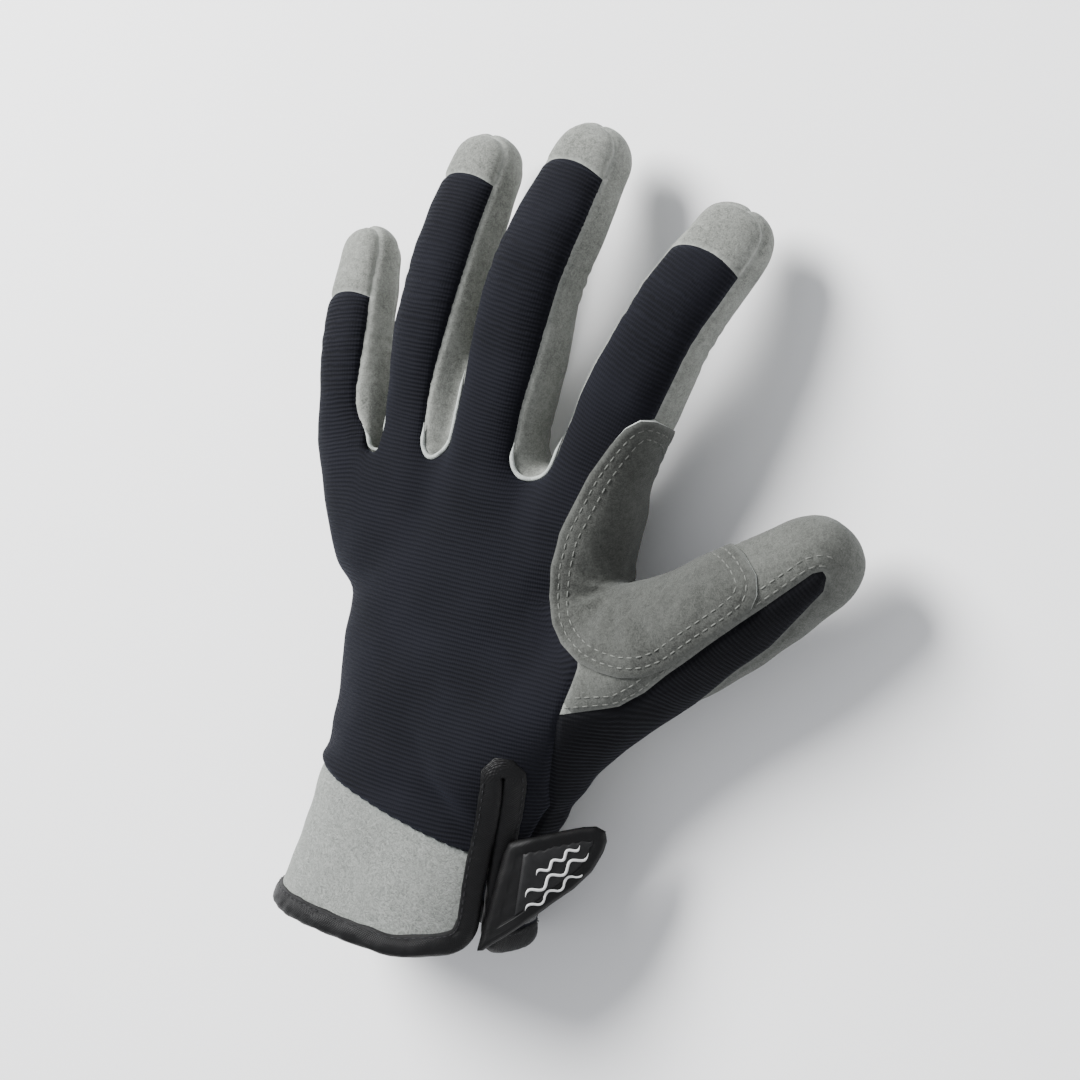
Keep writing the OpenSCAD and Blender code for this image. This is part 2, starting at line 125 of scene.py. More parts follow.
# ---- hinges, in a hand frame in millimetres: +Y to the fingers, +X to the thumb, +Z out of the back ----
HINGE_DROP = 3.0
HINGE = {j["name"]: np.array(j["pos_m"], float) / MM for j in frame["joints"]}
NAMES = ["index", "middle", "ring", "little"]


def middle_line(first, second):
    """Hinge positions moved up from the hinge line to the finger's middle line."""
    a, b = HINGE[first], HINGE[second]
    d = unit(b - a)
    n = unit(UP - d * d[2])
    return a + HINGE_DROP * n, b + HINGE_DROP * n


SHIFT = middle_line("middle_knuckle", "middle_middle")[0] - vec(2, 31, 26)


def row(p):
    """Hand frame in millimetres to row frame in metres."""
    return (np.asarray(p, float) + SHIFT) * MM


# ---- the form: a distance field of hand, fingers and thumb ----
class Tube:
    """A finger round a curved middle line, with its half width and half thickness."""

    def __init__(self, keys, sizes, roll, end, start=1, per_span=9):
        self.c = curve(keys, per_span)
        self.size = curve([(a, b, 0) for a, b in sizes], per_span)[:, :2]
        t = unit(np.gradient(self.c, axis=0))
        step = np.linalg.norm(np.diff(self.c, axis=0), axis=1)
        self.s = np.concatenate([[0], np.cumsum(step)])
        self.s -= self.s[start * per_span]
        n = unit(UP - t * t[:, 2:])
        r = math.radians(roll)
        self.n = n * math.cos(r) + np.cross(t, n) * math.sin(r)
        self.side = np.cross(t, self.n)
        self.end = end

    def local(self, p):
        """Along, sideways, up, half width and half thickness at each point."""
        best = np.full(len(p), 1e9)
        out = np.zeros((len(p), 5))
        last = len(self.c) - 2
        for i in range(last + 1):
            a, b = self.c[i], self.c[i + 1]
            length = np.linalg.norm(b - a)
            q = (p - a) @ (b - a) / length ** 2
            inner = np.clip(q, 0, 1)
            d = np.linalg.norm(p - a - inner[:, None] * (b - a), axis=1)
            m = d < best
            best[m] = d[m]
            q = np.clip(q[m], -9 if i == 0 else 0, 9 if i == last else 1)[:, None]
            k = np.clip(q, 0, 1)
            v = p[m] - a - q * (b - a)
            size = self.size[i] * (1 - k) + self.size[i + 1] * k
            out[m, 0] = self.s[i] + q[:, 0] * length
            out[m, 1] = (v * (self.side[i] * (1 - k) + self.side[i + 1] * k)).sum(1)
            out[m, 2] = (v * (self.n[i] * (1 - k) + self.n[i + 1] * k)).sum(1)
            out[m, 3:] = size
        return out

    def distance(self, p, local=None):
        inside = ((p > self.c.min(0) - 26) & (p < self.c.max(0) + 26)).all(1)
        out = np.full(len(p), 26.0)
        l, u, v, w, h = (self.local(p[inside]) if local is None else local[inside]).T
        e = np.maximum(0, l - self.s[-1] + self.end) / self.end
        b = np.maximum(0, self.s[0] - l) / 6
        r = (np.abs(u / w) ** 2.4 + np.abs(v / h) ** 2.4 + e ** 2.6 + b ** 2.4) ** (1 / 2.4)
        out[inside] = (r - 1) * np.minimum(w, h)
        return out


# for each finger: its root from the knuckle, its tip's turn, rise and length, its roll, and its half sizes
FINGERS = [((-8.5, -30, -2), (21.5, -19, 35), 8, [(11.5, 12), (11.6, 11.5), (11.4, 11), (9.8, 8.6)]),
           ((-2, -31, -2), (8.5, -18, 41), 2, [(12, 12), (12.2, 11.6), (12, 11), (9.4, 8.6)]),
           ((0, -27, -1), (1.5, -17, 42), -2, [(11, 11), (11, 11), (10.6, 10.4), (9, 8.2)]),
           ((10, -25, -1.5), (-13.5, -18, 34), -6, [(10, 10), (9.8, 9.8), (9.2, 9), (7.8, 7.2)])]
TUBES = []
KNUCKLE = []
for name, (root, (turn, rise, length), roll, sizes) in zip(NAMES, FINGERS):
    k, m = (p - SHIFT for p in middle_line(name + "_knuckle", name + "_middle"))
    turn, rise = math.radians(turn), math.radians(rise)
    tip = m + length * vec(math.sin(turn) * math.cos(rise), math.cos(turn) * math.cos(rise), math.sin(rise))
    TUBES.append(Tube([k + root, k, m, tip], sizes, roll, 10.5))
    KNUCKLE.append(k)
THUMB_BASE = HINGE["thumb_knuckle"] - SHIFT
THUMB_MID = HINGE["thumb_middle"] - SHIFT
THUMB_WAY = unit(THUMB_MID - THUMB_BASE)
THUMB_ROLL = 60
out = unit(UP - THUMB_WAY * THUMB_WAY[2])
out = out * math.cos(math.radians(THUMB_ROLL)) + np.cross(THUMB_WAY, out) * math.sin(math.radians(THUMB_ROLL))
THUMB_BASE = THUMB_BASE + HINGE_DROP * out
THUMB_MID = THUMB_MID + HINGE_DROP * out
THUMB = Tube([THUMB_BASE + (-38, -34.2, 0.1), THUMB_BASE + (-6, -4.2, 0.1),
              THUMB_MID + (-0.7, -1.5, -0.3), THUMB_MID + (27.6, 22.6, -3.8)],
             [(17, 17), (15.5, 15), (14, 13.5), (10.5, 9.8)], THUMB_ROLL, 13)
# how far along each finger its pieces divide: its root, its middle joint and its fingertip cap
ROOT_CUT = [-5, -5, -2, 1]
BASE_CUT = [21.5, 24, 22, 14.5]
CAP_SEAM = [54.2, 67.6, 64.2, 38.3]
# the hand's middle, half width, top and underside, at places along it
HAND_Y = [-120, -110, -75, -50, -20, 0, 15, 28]
HAND = {"x": [-13, -11, -5, -2.5, -0.5, -1.5, -4.5, -7], "w": [38.5, 37.5, 34, 35, 38.5, 41, 43.5, 44.5],
        "top": [49.5, 49, 47, 45, 42, 39, 36, 33], "under": [1, 1, 1.5, 1.5, 1.5, 2, 5, 10]}


def hand_size(y, what):
    c = curve([(a, b, 0) for a, b in zip(HAND_Y, HAND[what])], 12)
    return np.interp(y, c[:, 0], c[:, 1])


# the gap between the ring and little fingers runs deeper than the others
NOTCH = np.array([(-34.5, 20.5), (-38, 46)])
NOTCH_HALF = 1.8


def hand_distance(p):
    x, y, z = p.T
    mid, w, top, under = (hand_size(y, k) for k in ("x", "w", "top", "under"))
    e = np.maximum(0, y - 14) / 10
    r = (np.abs((x - mid) / w) ** 2.5 + np.abs((z - (top + under) / 2) / (top - under) * 2) ** 2.5
         + e ** 2.2) ** 0.4
    return (r - 1) * (top - under) / 2


def form(p):
    f = hand_distance(p)
    for tube, k in zip(TUBES, (6, 6, 6, 13)):
        f = smin(f, tube.distance(p), k)
    f = -smin(-f, line_gap(p[:, :2], NOTCH) - NOTCH_HALF, 2.5)
    return smin(f, THUMB.distance(p), 12)


def slope(p, step=0.25):
    """Value and gradient of the form."""
    f = form(p)
    g = np.stack([form(p + step * axis) - f for axis in np.eye(3)], 1) / step
    return f, g


def settle(p, rounds=2):
    """Moves points on to the form's surface, and gives its normals there."""
    for _ in range(rounds):
        f, g = slope(p)
        p = p - g * (f / np.maximum((g ** 2).sum(1), 0.05))[:, None]
    return p, unit(slope(p)[1])


# ---- mesh tools ----
def divide(F, marked, mid):
    """Splits triangles at their marked edges, with mid as the new corner on each."""
    count = marked.sum(1)
    out = [F[count == 0]]
    for k in range(3):
        i, j = (k + 1) % 3, (k + 2) % 3
        s = (count == 1) & marked[:, k]
        a, b, c, m = F[s, k], F[s, i], F[s, j], mid[s, k]
        out += [np.stack([a, m, c], 1), np.stack([m, b, c], 1)]
        s = (count == 2) & ~marked[:, k]
        a, b, c, p, q = F[s, k], F[s, i], F[s, j], mid[s, i], mid[s, j]
        out += [np.stack([c, q, p], 1), np.stack([a, b, p], 1), np.stack([a, p, q], 1)]
    s = count == 3
    a, b, c = F[s].T
    p, q, r = mid[s].T
    out += [np.stack(t, 1) for t in ([a, p, r], [p, b, q], [r, q, c], [p, q, r])]
    return np.vstack(out)


def edge_keys(F, n):
    e = np.stack([F, np.roll(F, -1, axis=1)], 2)
    return e.min(2).astype(np.int64) * n + e.max(2)


def open_edges(F, n):
    """Edges that one triangle alone has: their two points, and the triangle."""
    keys = edge_keys(F, n)
    _k, inverse, count = np.unique(keys, return_inverse=True, return_counts=True)
    owner, k = np.nonzero(count[inverse.reshape(keys.shape)] == 1)
    return F[owner, k], F[owner, (k + 1) % 3], owner


def ring_faces(count, width, closed=False):
    """Triangles between rings of points, and from the last ring to the first if closed."""
    i, k = np.meshgrid(np.arange(count if closed else count - 1), np.arange(width), indexing="ij")
    j, m = (i + 1) % count, (k + 1) % width
    a, b, c, d = ((x * width + y).ravel() for x, y in ((i, k), (j, k), (j, m), (i, m)))
    return np.vstack([np.stack([a, b, c], 1), np.stack([a, c, d], 1)])


def refine(V, F, near):
    """Halves the edges of every triangle that has a marked corner."""
    n = len(V)
    keys = edge_keys(F, n)
    hot = near[F].any(1)
    marked = np.isin(keys, np.unique(keys[hot]))
    uniq, inverse = np.unique(keys[marked], return_inverse=True)
    a, b = uniq // n, uniq % n
    mid = np.full(F.shape, -1)
    mid[marked] = n + inverse
    return np.vstack([V, (V[a] + V[b]) / 2]), divide(F, marked, mid)


def cut(V, A, F, f, snap=0.16):
    """Divides a mesh along f = 0. A holds more columns, which new corners take in proportion."""
    f = f.copy()
    e1, e2 = V[F[:, 1]] - V[F[:, 0]], V[F[:, 2]] - V[F[:, 0]]
    n = np.cross(e1, e2)
    area = np.maximum((n ** 2).sum(1), 1e-12)
    d1, d2 = f[F[:, 1]] - f[F[:, 0]], f[F[:, 2]] - f[F[:, 0]]
    g = (np.cross(e2, n) * d1[:, None] + np.cross(n, e1) * d2[:, None]) / area[:, None]
    grad = np.zeros_like(V)
    weight = np.zeros(len(V))
    for k in range(3):
        np.add.at(grad, F[:, k], g)
        np.add.at(weight, F[:, k], 1)
    grad /= np.maximum(weight, 1)[:, None]
    size = np.maximum((grad ** 2).sum(1), 0.04)
    close = np.abs(f) < snap * np.sqrt(size)
    V = V.copy()
    V[close] -= grad[close] * (f / size)[close, None]
    f[close] = 0
    sign = np.sign(f)
    marked = sign[F] * sign[np.roll(F, -1, axis=1)] < 0
    count = len(V)
    keys = edge_keys(F, count)
    uniq, inverse = np.unique(keys[marked], return_inverse=True)
    a, b = uniq // count, uniq % count
    t = (f[a] / (f[a] - f[b]))[:, None]
    mid = np.full(F.shape, -1)
    mid[marked] = count + inverse
    return (np.vstack([V, V[a] + (V[b] - V[a]) * t]), np.vstack([A, A[a] + (A[b] - A[a]) * t]),
            divide(F, marked, mid))


def corner_normals(V, F, groups=None):
    """Normals of the triangles' corners, as each group of triangles sees them."""
    n = np.cross(V[F[:, 1]] - V[F[:, 0]], V[F[:, 2]] - V[F[:, 0]])
    ids = F.astype(np.int64) + (0 if groups is None else groups[:, None].astype(np.int64) * len(V))
    uniq, inverse = np.unique(ids, return_inverse=True)
    inverse = inverse.reshape(F.shape)
    total = np.zeros((len(uniq), 3))
    for k in range(3):
        np.add.at(total, inverse[:, k], n)
    return unit(total)[inverse]


def chains(segments):
    """Joins pairs of point numbers into lines of point numbers."""
    links = {}
    for a, b in segments:
        links.setdefault(a, []).append(b)
        links.setdefault(b, []).append(a)
    lines = []
    ends = [k for k, v in links.items() if len(v) == 1]
    for start in ends + list(links):
        if not links.get(start):
            continue
        line = [start]
        while links.get(line[-1]):
            here = line[-1]
            there = links[here].pop()
            links[there].remove(here)
            line.append(there)
        lines.append(line)
    return lines


def contour(V, N, F, f, level):
    """Lines on a mesh where f equals level, as (points, normals)."""
    g = f - level
    g[g == 0] = 1e-9
    count = len(V)
    crossing = g[F] * g[np.roll(F, -1, axis=1)] < 0
    keys = edge_keys(F, count)
    pairs = keys[crossing.sum(1) == 2][crossing[crossing.sum(1) == 2]].reshape(-1, 2)
    uniq, inverse = np.unique(pairs, return_inverse=True)
    a, b = uniq // count, uniq % count
    t = (g[a] / (g[a] - g[b]))[:, None]
    P, Q = V[a] + (V[b] - V[a]) * t, unit(N[a] + (N[b] - N[a]) * t)
    return [(P[line], Q[line]) for line in chains(inverse.reshape(-1, 2).tolist())]


def even(points, step, closed=False, soften=2, other=None):
    """Points at an even spacing along a line."""
    p = np.asarray(points, float)
    keep = np.concatenate([[True], np.linalg.norm(np.diff(p, axis=0), axis=1) > 1e-6])
    p = p[keep]
    q = None if other is None else np.asarray(other, float)[keep]
    for _ in range(soften):
        if closed and len(p) > 8:
            p = 0.5 * p + 0.25 * (np.roll(p, 1, axis=0) + np.roll(p, -1, axis=0))
        elif len(p) > 4:
            p[1:-1] = 0.5 * p[1:-1] + 0.25 * (p[:-2] + p[2:])
    s = np.concatenate([[0], np.cumsum(np.linalg.norm(np.diff(p, axis=0), axis=1))])
    n = max(2, int(round(s[-1] / step)) + 1)
    at = np.linspace(0, s[-1], n)
    out = np.stack([np.interp(at, s, p[:, k]) for k in range(3)], 1)
    if q is None:
        return out
    return out, unit(np.stack([np.interp(at, s, q[:, k]) for k in range(3)], 1))


# ---- camera, and the plane that it looks at ----
TURN, LIFT, ROLL_VIEW = math.radians(35), math.radians(8), math.radians(8)
BACK = vec(math.sin(TURN) * math.cos(LIFT), math.sin(LIFT), math.cos(TURN) * math.cos(LIFT))
LEVEL = unit(np.cross((0, 1, 0), BACK))
UPRIGHT = np.cross(BACK, LEVEL)
RIGHT = LEVEL * math.cos(ROLL_VIEW) + UPRIGHT * math.sin(ROLL_VIEW)
ABOVE = UPRIGHT * math.cos(ROLL_VIEW) - LEVEL * math.sin(ROLL_VIEW)
EYE = BACK * 650


def drawing(p):
    """Places in the drawing plane, which faces the eye."""
    return np.stack([p @ RIGHT, p @ ABOVE], 1)


def to_outline(q, outline):
    """Signed distance to a closed outline, positive inside."""
    ring = np.array(list(outline) + [outline[0]], float)
    inside = np.zeros(len(q), bool)
    for a, b in zip(ring[:-1], ring[1:]):
        if a[1] != b[1]:
            at = a[0] + (q[:, 1] - a[1]) / (b[1] - a[1]) * (b[0] - a[0])
            inside ^= ((a[1] > q[:, 1]) != (b[1] > q[:, 1])) & (q[:, 0] < at)
    gap = line_gap(q, ring)
    return np.where(inside, gap, -gap)


def round_box(a, b, radius):
    """Distance inside a box with round corners, from how far a point is past its inner box each way."""
    return radius - np.hypot(np.maximum(a, 0), np.maximum(b, 0)) - np.minimum(0, np.maximum(a, b))


# seams on the side that faces the eye, in the drawing plane, in millimetres
BACK_AREA = [(4.5, -200), (3, -70.5), (2.5, -63.5), (3, -55), (4, -45.5), (6, -39.5), (9, -31.5),
             (10, -20), (12, -5), (17, 10), (25, 20), (31, 27), (36, 42),
             (89, 201), (-200, 201), (-200, -200)]
SADDLE = [(32, 28), (28, 29.5), (24.5, 29.5), (21, 27.5), (17.5, 23.5), (12.5, 16.5), (8.5, 8.5),
          (5, 1.5), (3, -6.5), (2.5, -14), (3.5, -21.5), (5.5, -26), (10, -30.5), (14.5, -32.5),
          (19.5, -33.5), (25.5, -33), (30.5, -31), (38.5, -25), (46.5, -19.5), (50, -16.5),
          (51.5, -13), (51.5, -8.5), (49, -3.5), (47, -1.5), (43, 4), (37, 12), (36, 20), (36, 26)]
LEAF = [(-6, -43.5), (5, -43.5), (12.5, -42.5), (19.5, -41.5), (25.5, -38), (30.5, -33.5), (38.5, -27),
        (47.5, -20), (54.5, -15), (60, -11), (64, -8), (66.5, -7.5), (67.5, -9), (67, -12.5),
        (64.5, -15.5), (59.5, -21.5), (55.5, -26.5), (48.5, -32), (39.5, -40.5), (36, -46), (40, -70),
        (60, -130), (-6, -130)]
RIDGE = curve([(47.5, 35.5, 18.5), (44.5, 25, 17), (42.5, 14, 18), (41.5, 5, 21), (42, -1, 25),
               (46.5, -3, 28), (54, 0, 27.5), (65, 6.5, 27.5), (74.5, 12.5, 28)], 4)
# the slit's middle line
SLIT = np.array([(23, -114, 37), (23.5, -100.5, 37), (24.5, -92.5, 37), (24.5, -83, 37.5),
                 (25, -75, 37.5), (27, -66, 39.5), (28.5, -57.5, 41.5), (29, -51.5, 43)])
SLIT_TOP = -54.5
CROTCH = vec(41, -3.6, 25)
CROTCH_WAY = unit(vec(0.9936, -0.1129, 0))
COLUMNS = ["keep", "cuff", "slit", "back", "leaf", "fork0", "fork1", "fork2", "cap", "thumb",
           "saddle", "pad", "loop", "z0", "z1", "z2", "z3", "z4", "t0", "t1", "t2", "t3", "t4",
           "across", "along"]
COL = {name: k for k, name in enumerate(COLUMNS)}


def measure(p, n):
    """Every seam's field at points of the skin, in about millimetres: a seam lies where one is 0."""
    out = {}
    x, y, z = p.T
    plane = drawing(p)
    facing = (n * unit(EYE - p)).sum(1)
    local = [t.local(p) for t in TUBES]
    dist = np.stack([t.distance(p, a) for t, a in zip(TUBES, local)])
    dist = np.stack([d + np.linalg.norm(p - t.c[9 * 2], axis=1) * 1e-3 for d, t in zip(dist, TUBES)])
    w = np.exp(-(dist - dist.min(0)) / 1.6)
    w /= w.sum(0)
    nearest = dist.argmin(0)
    L, U, W, T = (np.stack([a[:, k] for a in local]) for k in (0, 1, 2, 4))
    # hem, slit and cuff seam
    hem = y + 106.2 - 4.2 * smooth(x, 3, 24) * (z > 20) - 4.2 * smooth(x, 8, 24) * (z <= 20)
    sx = np.interp(y, SLIT[:, 1], SLIT[:, 0])
    sz = np.interp(y, SLIT[:, 1], SLIT[:, 2])
    q = (x - sx) * 0.77 - (z - sz) * 0.64
    half = 1.1 + 0.9 * smooth(-y, 60, 108)
    over = np.maximum(0, y - SLIT_TOP)
    gap = np.where(over > 0, 1.5, half) - np.hypot(q, over)
    gap = np.minimum(gap, (z - 24))
    out["keep"] = smin(hem, -gap, 7)
    out["slit"] = q
    out["cuff"] = y + 72.3 + 0.19 * np.clip(x, -34, 34)
    # back panel
    share = np.full(L.shape, 0.55)
    for k, extra, end in ((1, 0.16, 38), (2, 0.34, 48), (3, 0.36, 34)):
        share[k] += extra * smooth(U[k], 0, 4) * (1 - smooth(L[k], 5, end))
    fingers = (w * (W - share * T)).sum(0)
    top = np.minimum(z - 29 + 0.02 * (y + 50), to_outline(plane, BACK_AREA))
    top = np.where(facing > 0.05, top, np.where(x > 5, -9, z - 29 + 0.02 * (y + 50)))
    into = smooth((w * L).sum(0), -26, -6)
    out["back"] = (1 - into) * top + into * fingers
    # strips between the fingers
    palm = (w * (-W - 0.6 * T)).sum(0)
    palm = np.where(y > -10, palm, 9)
    for k in range(3):
        inner = np.minimum(-U[k], U[k + 1])
        end = np.where(nearest == k, -U[k], np.where(nearest == k + 1, U[k + 1], inner))
        end = np.where((nearest == k) | (nearest == k + 1), end, -5)
        out["fork%d" % k] = np.minimum(np.minimum(-out["back"], -palm), np.minimum(end, 5 - dist.min(0)))
    own = np.choose(nearest, L)
    slant = np.choose(nearest, [0.12 * U[0], 0.05 * U[1], 0.04 * U[2], -0.02 * U[3]])
    out["cap"] = own - np.choose(nearest, CAP_SEAM) - slant - 1.6 * (1 - (np.choose(nearest, U) / 9) ** 2)
    # thumb
    l, u = THUMB.local(p).T[:2]
    td = THUMB.distance(p)
    limit = np.interp(plane[:, 0], [10, 30, 50, 62], [-0.16, -0.12, 0.0, 0.06])
    out["leaf"] = np.minimum(to_outline(plane, LEAF), (facing - limit) * 14)
    out["thumb"] = np.minimum(l + 6, (dist.min(0) - td) + 2)
    # second layers
    front = to_outline(plane, SADDLE)
    ends = np.minimum((p - RIDGE[0]) @ unit(RIDGE[2] - RIDGE[0]),
                      (p - RIDGE[-1]) @ unit(RIDGE[-3] - RIDGE[-1]))
    rear = smin(17 - line_gap(p, RIDGE), ends + 1, 6)
    m = smooth(facing, -0.02, 0.12)
    out["saddle"] = front * m + rear * (1 - m)
    out["pad"] = np.where(z < 8, round_box(np.abs(x + 3) - 20, np.abs(y + 33) - 19, 8), -9)
    turn = np.degrees(np.arctan2((z - 24) / 23, (x + 7) / 35))
    out["loop"] = np.where(x > 10, round_box(np.abs(turn - 1) * 0.5 - 8.5, np.abs(y + 87) - 7, 2), -9)
    # bodies
    two = np.sort(dist, axis=0)
    for k in range(4):
        lead = np.where(nearest == k, two[1] - two[0], dist[nearest, np.arange(len(p))] - dist[k])
        out["z%d" % k] = np.minimum(L[k] - ROOT_CUT[k], lead)
        out["t%d" % k] = np.minimum(L[k] - BASE_CUT[k], lead)
    d1 = (p - CROTCH) @ CROTCH_WAY
    d2 = (p - vec(41.5, -2.5, 25)) @ unit(vec(0.78, -0.62, 0))
    out["z4"] = np.minimum(d1, d2)
    out["t4"] = np.minimum((p - THUMB_BASE) @ THUMB_WAY - 24.5, d2)
    # the knit's own grid
    s = smooth(own, -24, 6)
    along = y * (1 - s) + s * (w * (L + np.array([k[1] for k in KNUCKLE])[:, None])).sum(0)
    across = x * (1 - s) + s * (w * (U + np.array([k[0] for k in KNUCKLE])[:, None])).sum(0)
    s = smooth(l, -4, 26) * (td < dist.min(0) + 2) * (x > 20)
    out["along"] = along * (1 - s) + s * (l - 45)
    out["across"] = across * (1 - s) + s * u
    return np.stack([out[c] for c in COLUMNS], 1)


def grid_mesh():
    """The form as a triangle mesh."""
    step = 1.35
    low, high = vec(-70, -113, -4), vec(121, 121, 56)
    shape = np.ceil((high - low) / step / 4).astype(int) * 4 + 1
    axes = [low[k] + step * np.arange(shape[k]) for k in range(3)]
    rough = np.stack(np.meshgrid(*[a[::4] for a in axes], indexing="ij"), -1)
    f = form(rough.reshape(-1, 3)).reshape(rough.shape[:3])
    idx = [np.clip(np.round(np.arange(n) / 4).astype(int), 0, f.shape[k] - 1) for k, n in enumerate(shape)]
    fine = f[np.ix_(*idx)].astype(np.float32)
    hot = np.argwhere(np.abs(fine) < 5.5)
    p = np.stack([axes[k][hot[:, k]] for k in range(3)], 1)
    fine[tuple(hot.T)] = form(p)
    grid = openvdb.FloatGrid(6.0)
    grid.copyFromArray(np.clip(fine, -6, 6))
    points, quads = grid.convertToQuads(isovalue=0)
    points = points.astype(float) * step + low
    quads = quads.astype(int)
    for _ in range(2):
        total, count = np.zeros_like(points), np.zeros(len(points))
        for k in range(4):
            np.add.at(total, quads[:, k], points[quads].mean(1))
            np.add.at(count, quads[:, k], 1)
        points, _n = settle(total / count[:, None], 1)
    F = np.vstack([quads[:, [0, 1, 2]], quads[:, [0, 2, 3]]])
    n = np.cross(points[F[:, 1]] - points[F[:, 0]], points[F[:, 2]] - points[F[:, 0]])
    g = slope(points[F].mean(1))[1]
    if ((n * g).sum(1) > 0).mean() < 0.5:
        F = F[:, ::-1]
    keep = points[F][:, :, 1].max(1) > -111.5
    return points, F[keep]


def compact(V, A, F):
    used, inverse = np.unique(F, return_inverse=True)
    return V[used], A[used], inverse.reshape(F.shape)


V, F = grid_mesh()
V, N = settle(V)
A = measure(V, N)
seams = [COL[c] for c in ("keep", "cuff", "back", "leaf", "fork0", "fork1", "fork2", "saddle")]
close = (np.abs(A[:, seams]) < 2.6).any(1)
close |= (np.abs(A[:, COL["cap"]]) < 2.2) & (A[:, COL["back"]] > -2)
V, F = refine(V, F, close)
V, N = settle(V)
A = measure(V, N)
for name in [c for c in COLUMNS if c not in ("slit", "across", "along")]:
    f = A[:, COL[name]]
    if name == "cap":
        f = np.where(A[:, COL["back"]] > -0.5, f, np.sign(f) * 9)
    V, A, F = cut(V, A, F, f)
    if name == "keep":
        F = F[A[F, COL["keep"]].mean(1) > 0]
        V, A, F = compact(V, A, F)
V, N = settle(V, 1)

# ---- panels ----
at = {c: A[F, COL[c]].mean(1) for c in COLUMNS}
PANELS = ["knit_back", "knit_side", "suede_palm", "suede_thumb_painted_shade", "fork0", "fork1", "fork2",
          "cap0", "cap1", "cap2", "cap3", "cuff_band", "cuff_flap", "cuff_palm"]
mid = V[F].mean(1)
nearest = np.stack([t.distance(mid) for t in TUBES]).argmin(0)
panel = np.where(at["thumb"] > 0, 3, 2)
for k in range(3):
    panel[at["fork%d" % k] > 0] = 4 + k
panel[at["leaf"] > 0] = 1
back = at["back"] > 0
panel[back] = 0
for k in range(4):
    panel[back & (at["cap"] > 0) & (nearest == k) & (mid[:, 1] > 40)] = 7 + k
cuff = at["cuff"] < 0
panel[cuff] = 13
panel[cuff & (at["slit"] > 0) & ((at["leaf"] > 0) | back | (mid[:, 2] > 22))] = 12
panel[cuff & (at["slit"] < 0) & back] = 11
zone = np.zeros(len(F), int)
for k in range(5):
    zone[at["z%d" % k] > 0] = 1 + k
    zone[at["t%d" % k] > 0] = 6 + k


# ---- relief: seams sink in, the fabric between them stands out a little ----
def borders(F, tag, n):
    """Edges where the tag changes, with the two tags (-1 outside), as (points a, points b, tags)."""
    keys = edge_keys(F, n).ravel()
    tri = np.repeat(np.arange(len(F)), 3)
    order = np.argsort(keys, kind="stable")
    k, t = keys[order], tag[tri[order]]
    first = np.concatenate([[True], k[1:] != k[:-1]])
    start = np.nonzero(first)[0]
    count = np.diff(np.append(start, len(k)))
    other = np.where(count > 1, t[np.minimum(start + 1, len(t) - 1)], -1)
    pick = other != t[start]
    key = k[start][pick]
    return key // n, key % n, np.sort(np.stack([t[start][pick], other[pick]], 1), axis=1)


def gap_to(points, queries, limit=30.0):
    """Distance from each query to the nearest of the points."""
    tree = KDTree(len(points))
    for i, p in enumerate(points):
        tree.insert(p, i)
    tree.balance()
    return np.minimum([tree.find(q)[2] for q in queries], limit)


def points_of(edges, pick):
    """Ends and middles of the picked edges."""
    a, b, tags = edges
    s = pick(tags)
    return np.vstack([V[a[s]], V[b[s]], (V[a[s]] + V[b[s]]) / 2])


SEAMS = borders(F, panel, len(V))


smooth_rise = 0.34 * waves(V, (26, 42), 3) + 0.11 * waves(V, (9, 14), 4)
for j, (tube, length) in enumerate(zip(TUBES, (36.8, 42.1, 38.2, 27.8))):
    l, u, v, w, t = tube.local(V).T
    near = (tube.distance(V) < 2.5) & (l > -8)
    fold = np.exp(-((l - length) / 6.5) ** 2) * np.sin(l * 1.45 + 0.25 * u + 0.6 * waves(V, (12,), 20 + j))
    smooth_rise += near * fold * np.where(v < 0, 0.2, 0.09)
    fold = np.exp(-((l - 1) / 6) ** 2) * np.sin(l * 1.2 + 0.2 * u)
    smooth_rise += near * fold * np.where(v < 0, 0.14, 0.04)
across, up = (drawing(V) - drawing(CROTCH[None]) - (1.5, -1)).T
r = np.hypot(across, up)
turn = np.arctan2(up, across)
pull = np.exp(-r / 15) * smooth(r, 1, 7) * (V[:, 0] > 20)
smooth_rise += 0.75 * pull * np.sin(turn * 9 + 0.09 * r) * (A[:, COL["saddle"]] > -6)
wrist = np.exp(-((V[:, 1] + 62) / 13) ** 2)
smooth_rise += 0.22 * wrist * np.sin(V[:, 1] * 0.42 + 1.4 * waves(V, (30,), 31))
EDGE = gap_to(points_of(SEAMS, lambda t: t[:, 0] >= 0), V)
rise = smooth_rise - 0.62 * np.exp(-(EDGE / 0.85) ** 2) + 0.22 * (1 - np.exp(-(EDGE / 3.2) ** 2))
above_cuff = A[:, COL["cuff"]]
rise += np.where(above_cuff > 0, 0.85 * np.exp(-((above_cuff - 1.6) / 1.9) ** 2),
                 -0.3 * np.exp(above_cuff / 2))
rise -= 0.5 * smooth(A[:, COL["saddle"]], 0.3, 2.2)
SKIN = V + N * rise[:, None]
SKIN_NORMALS = corner_normals(SKIN, F, panel)


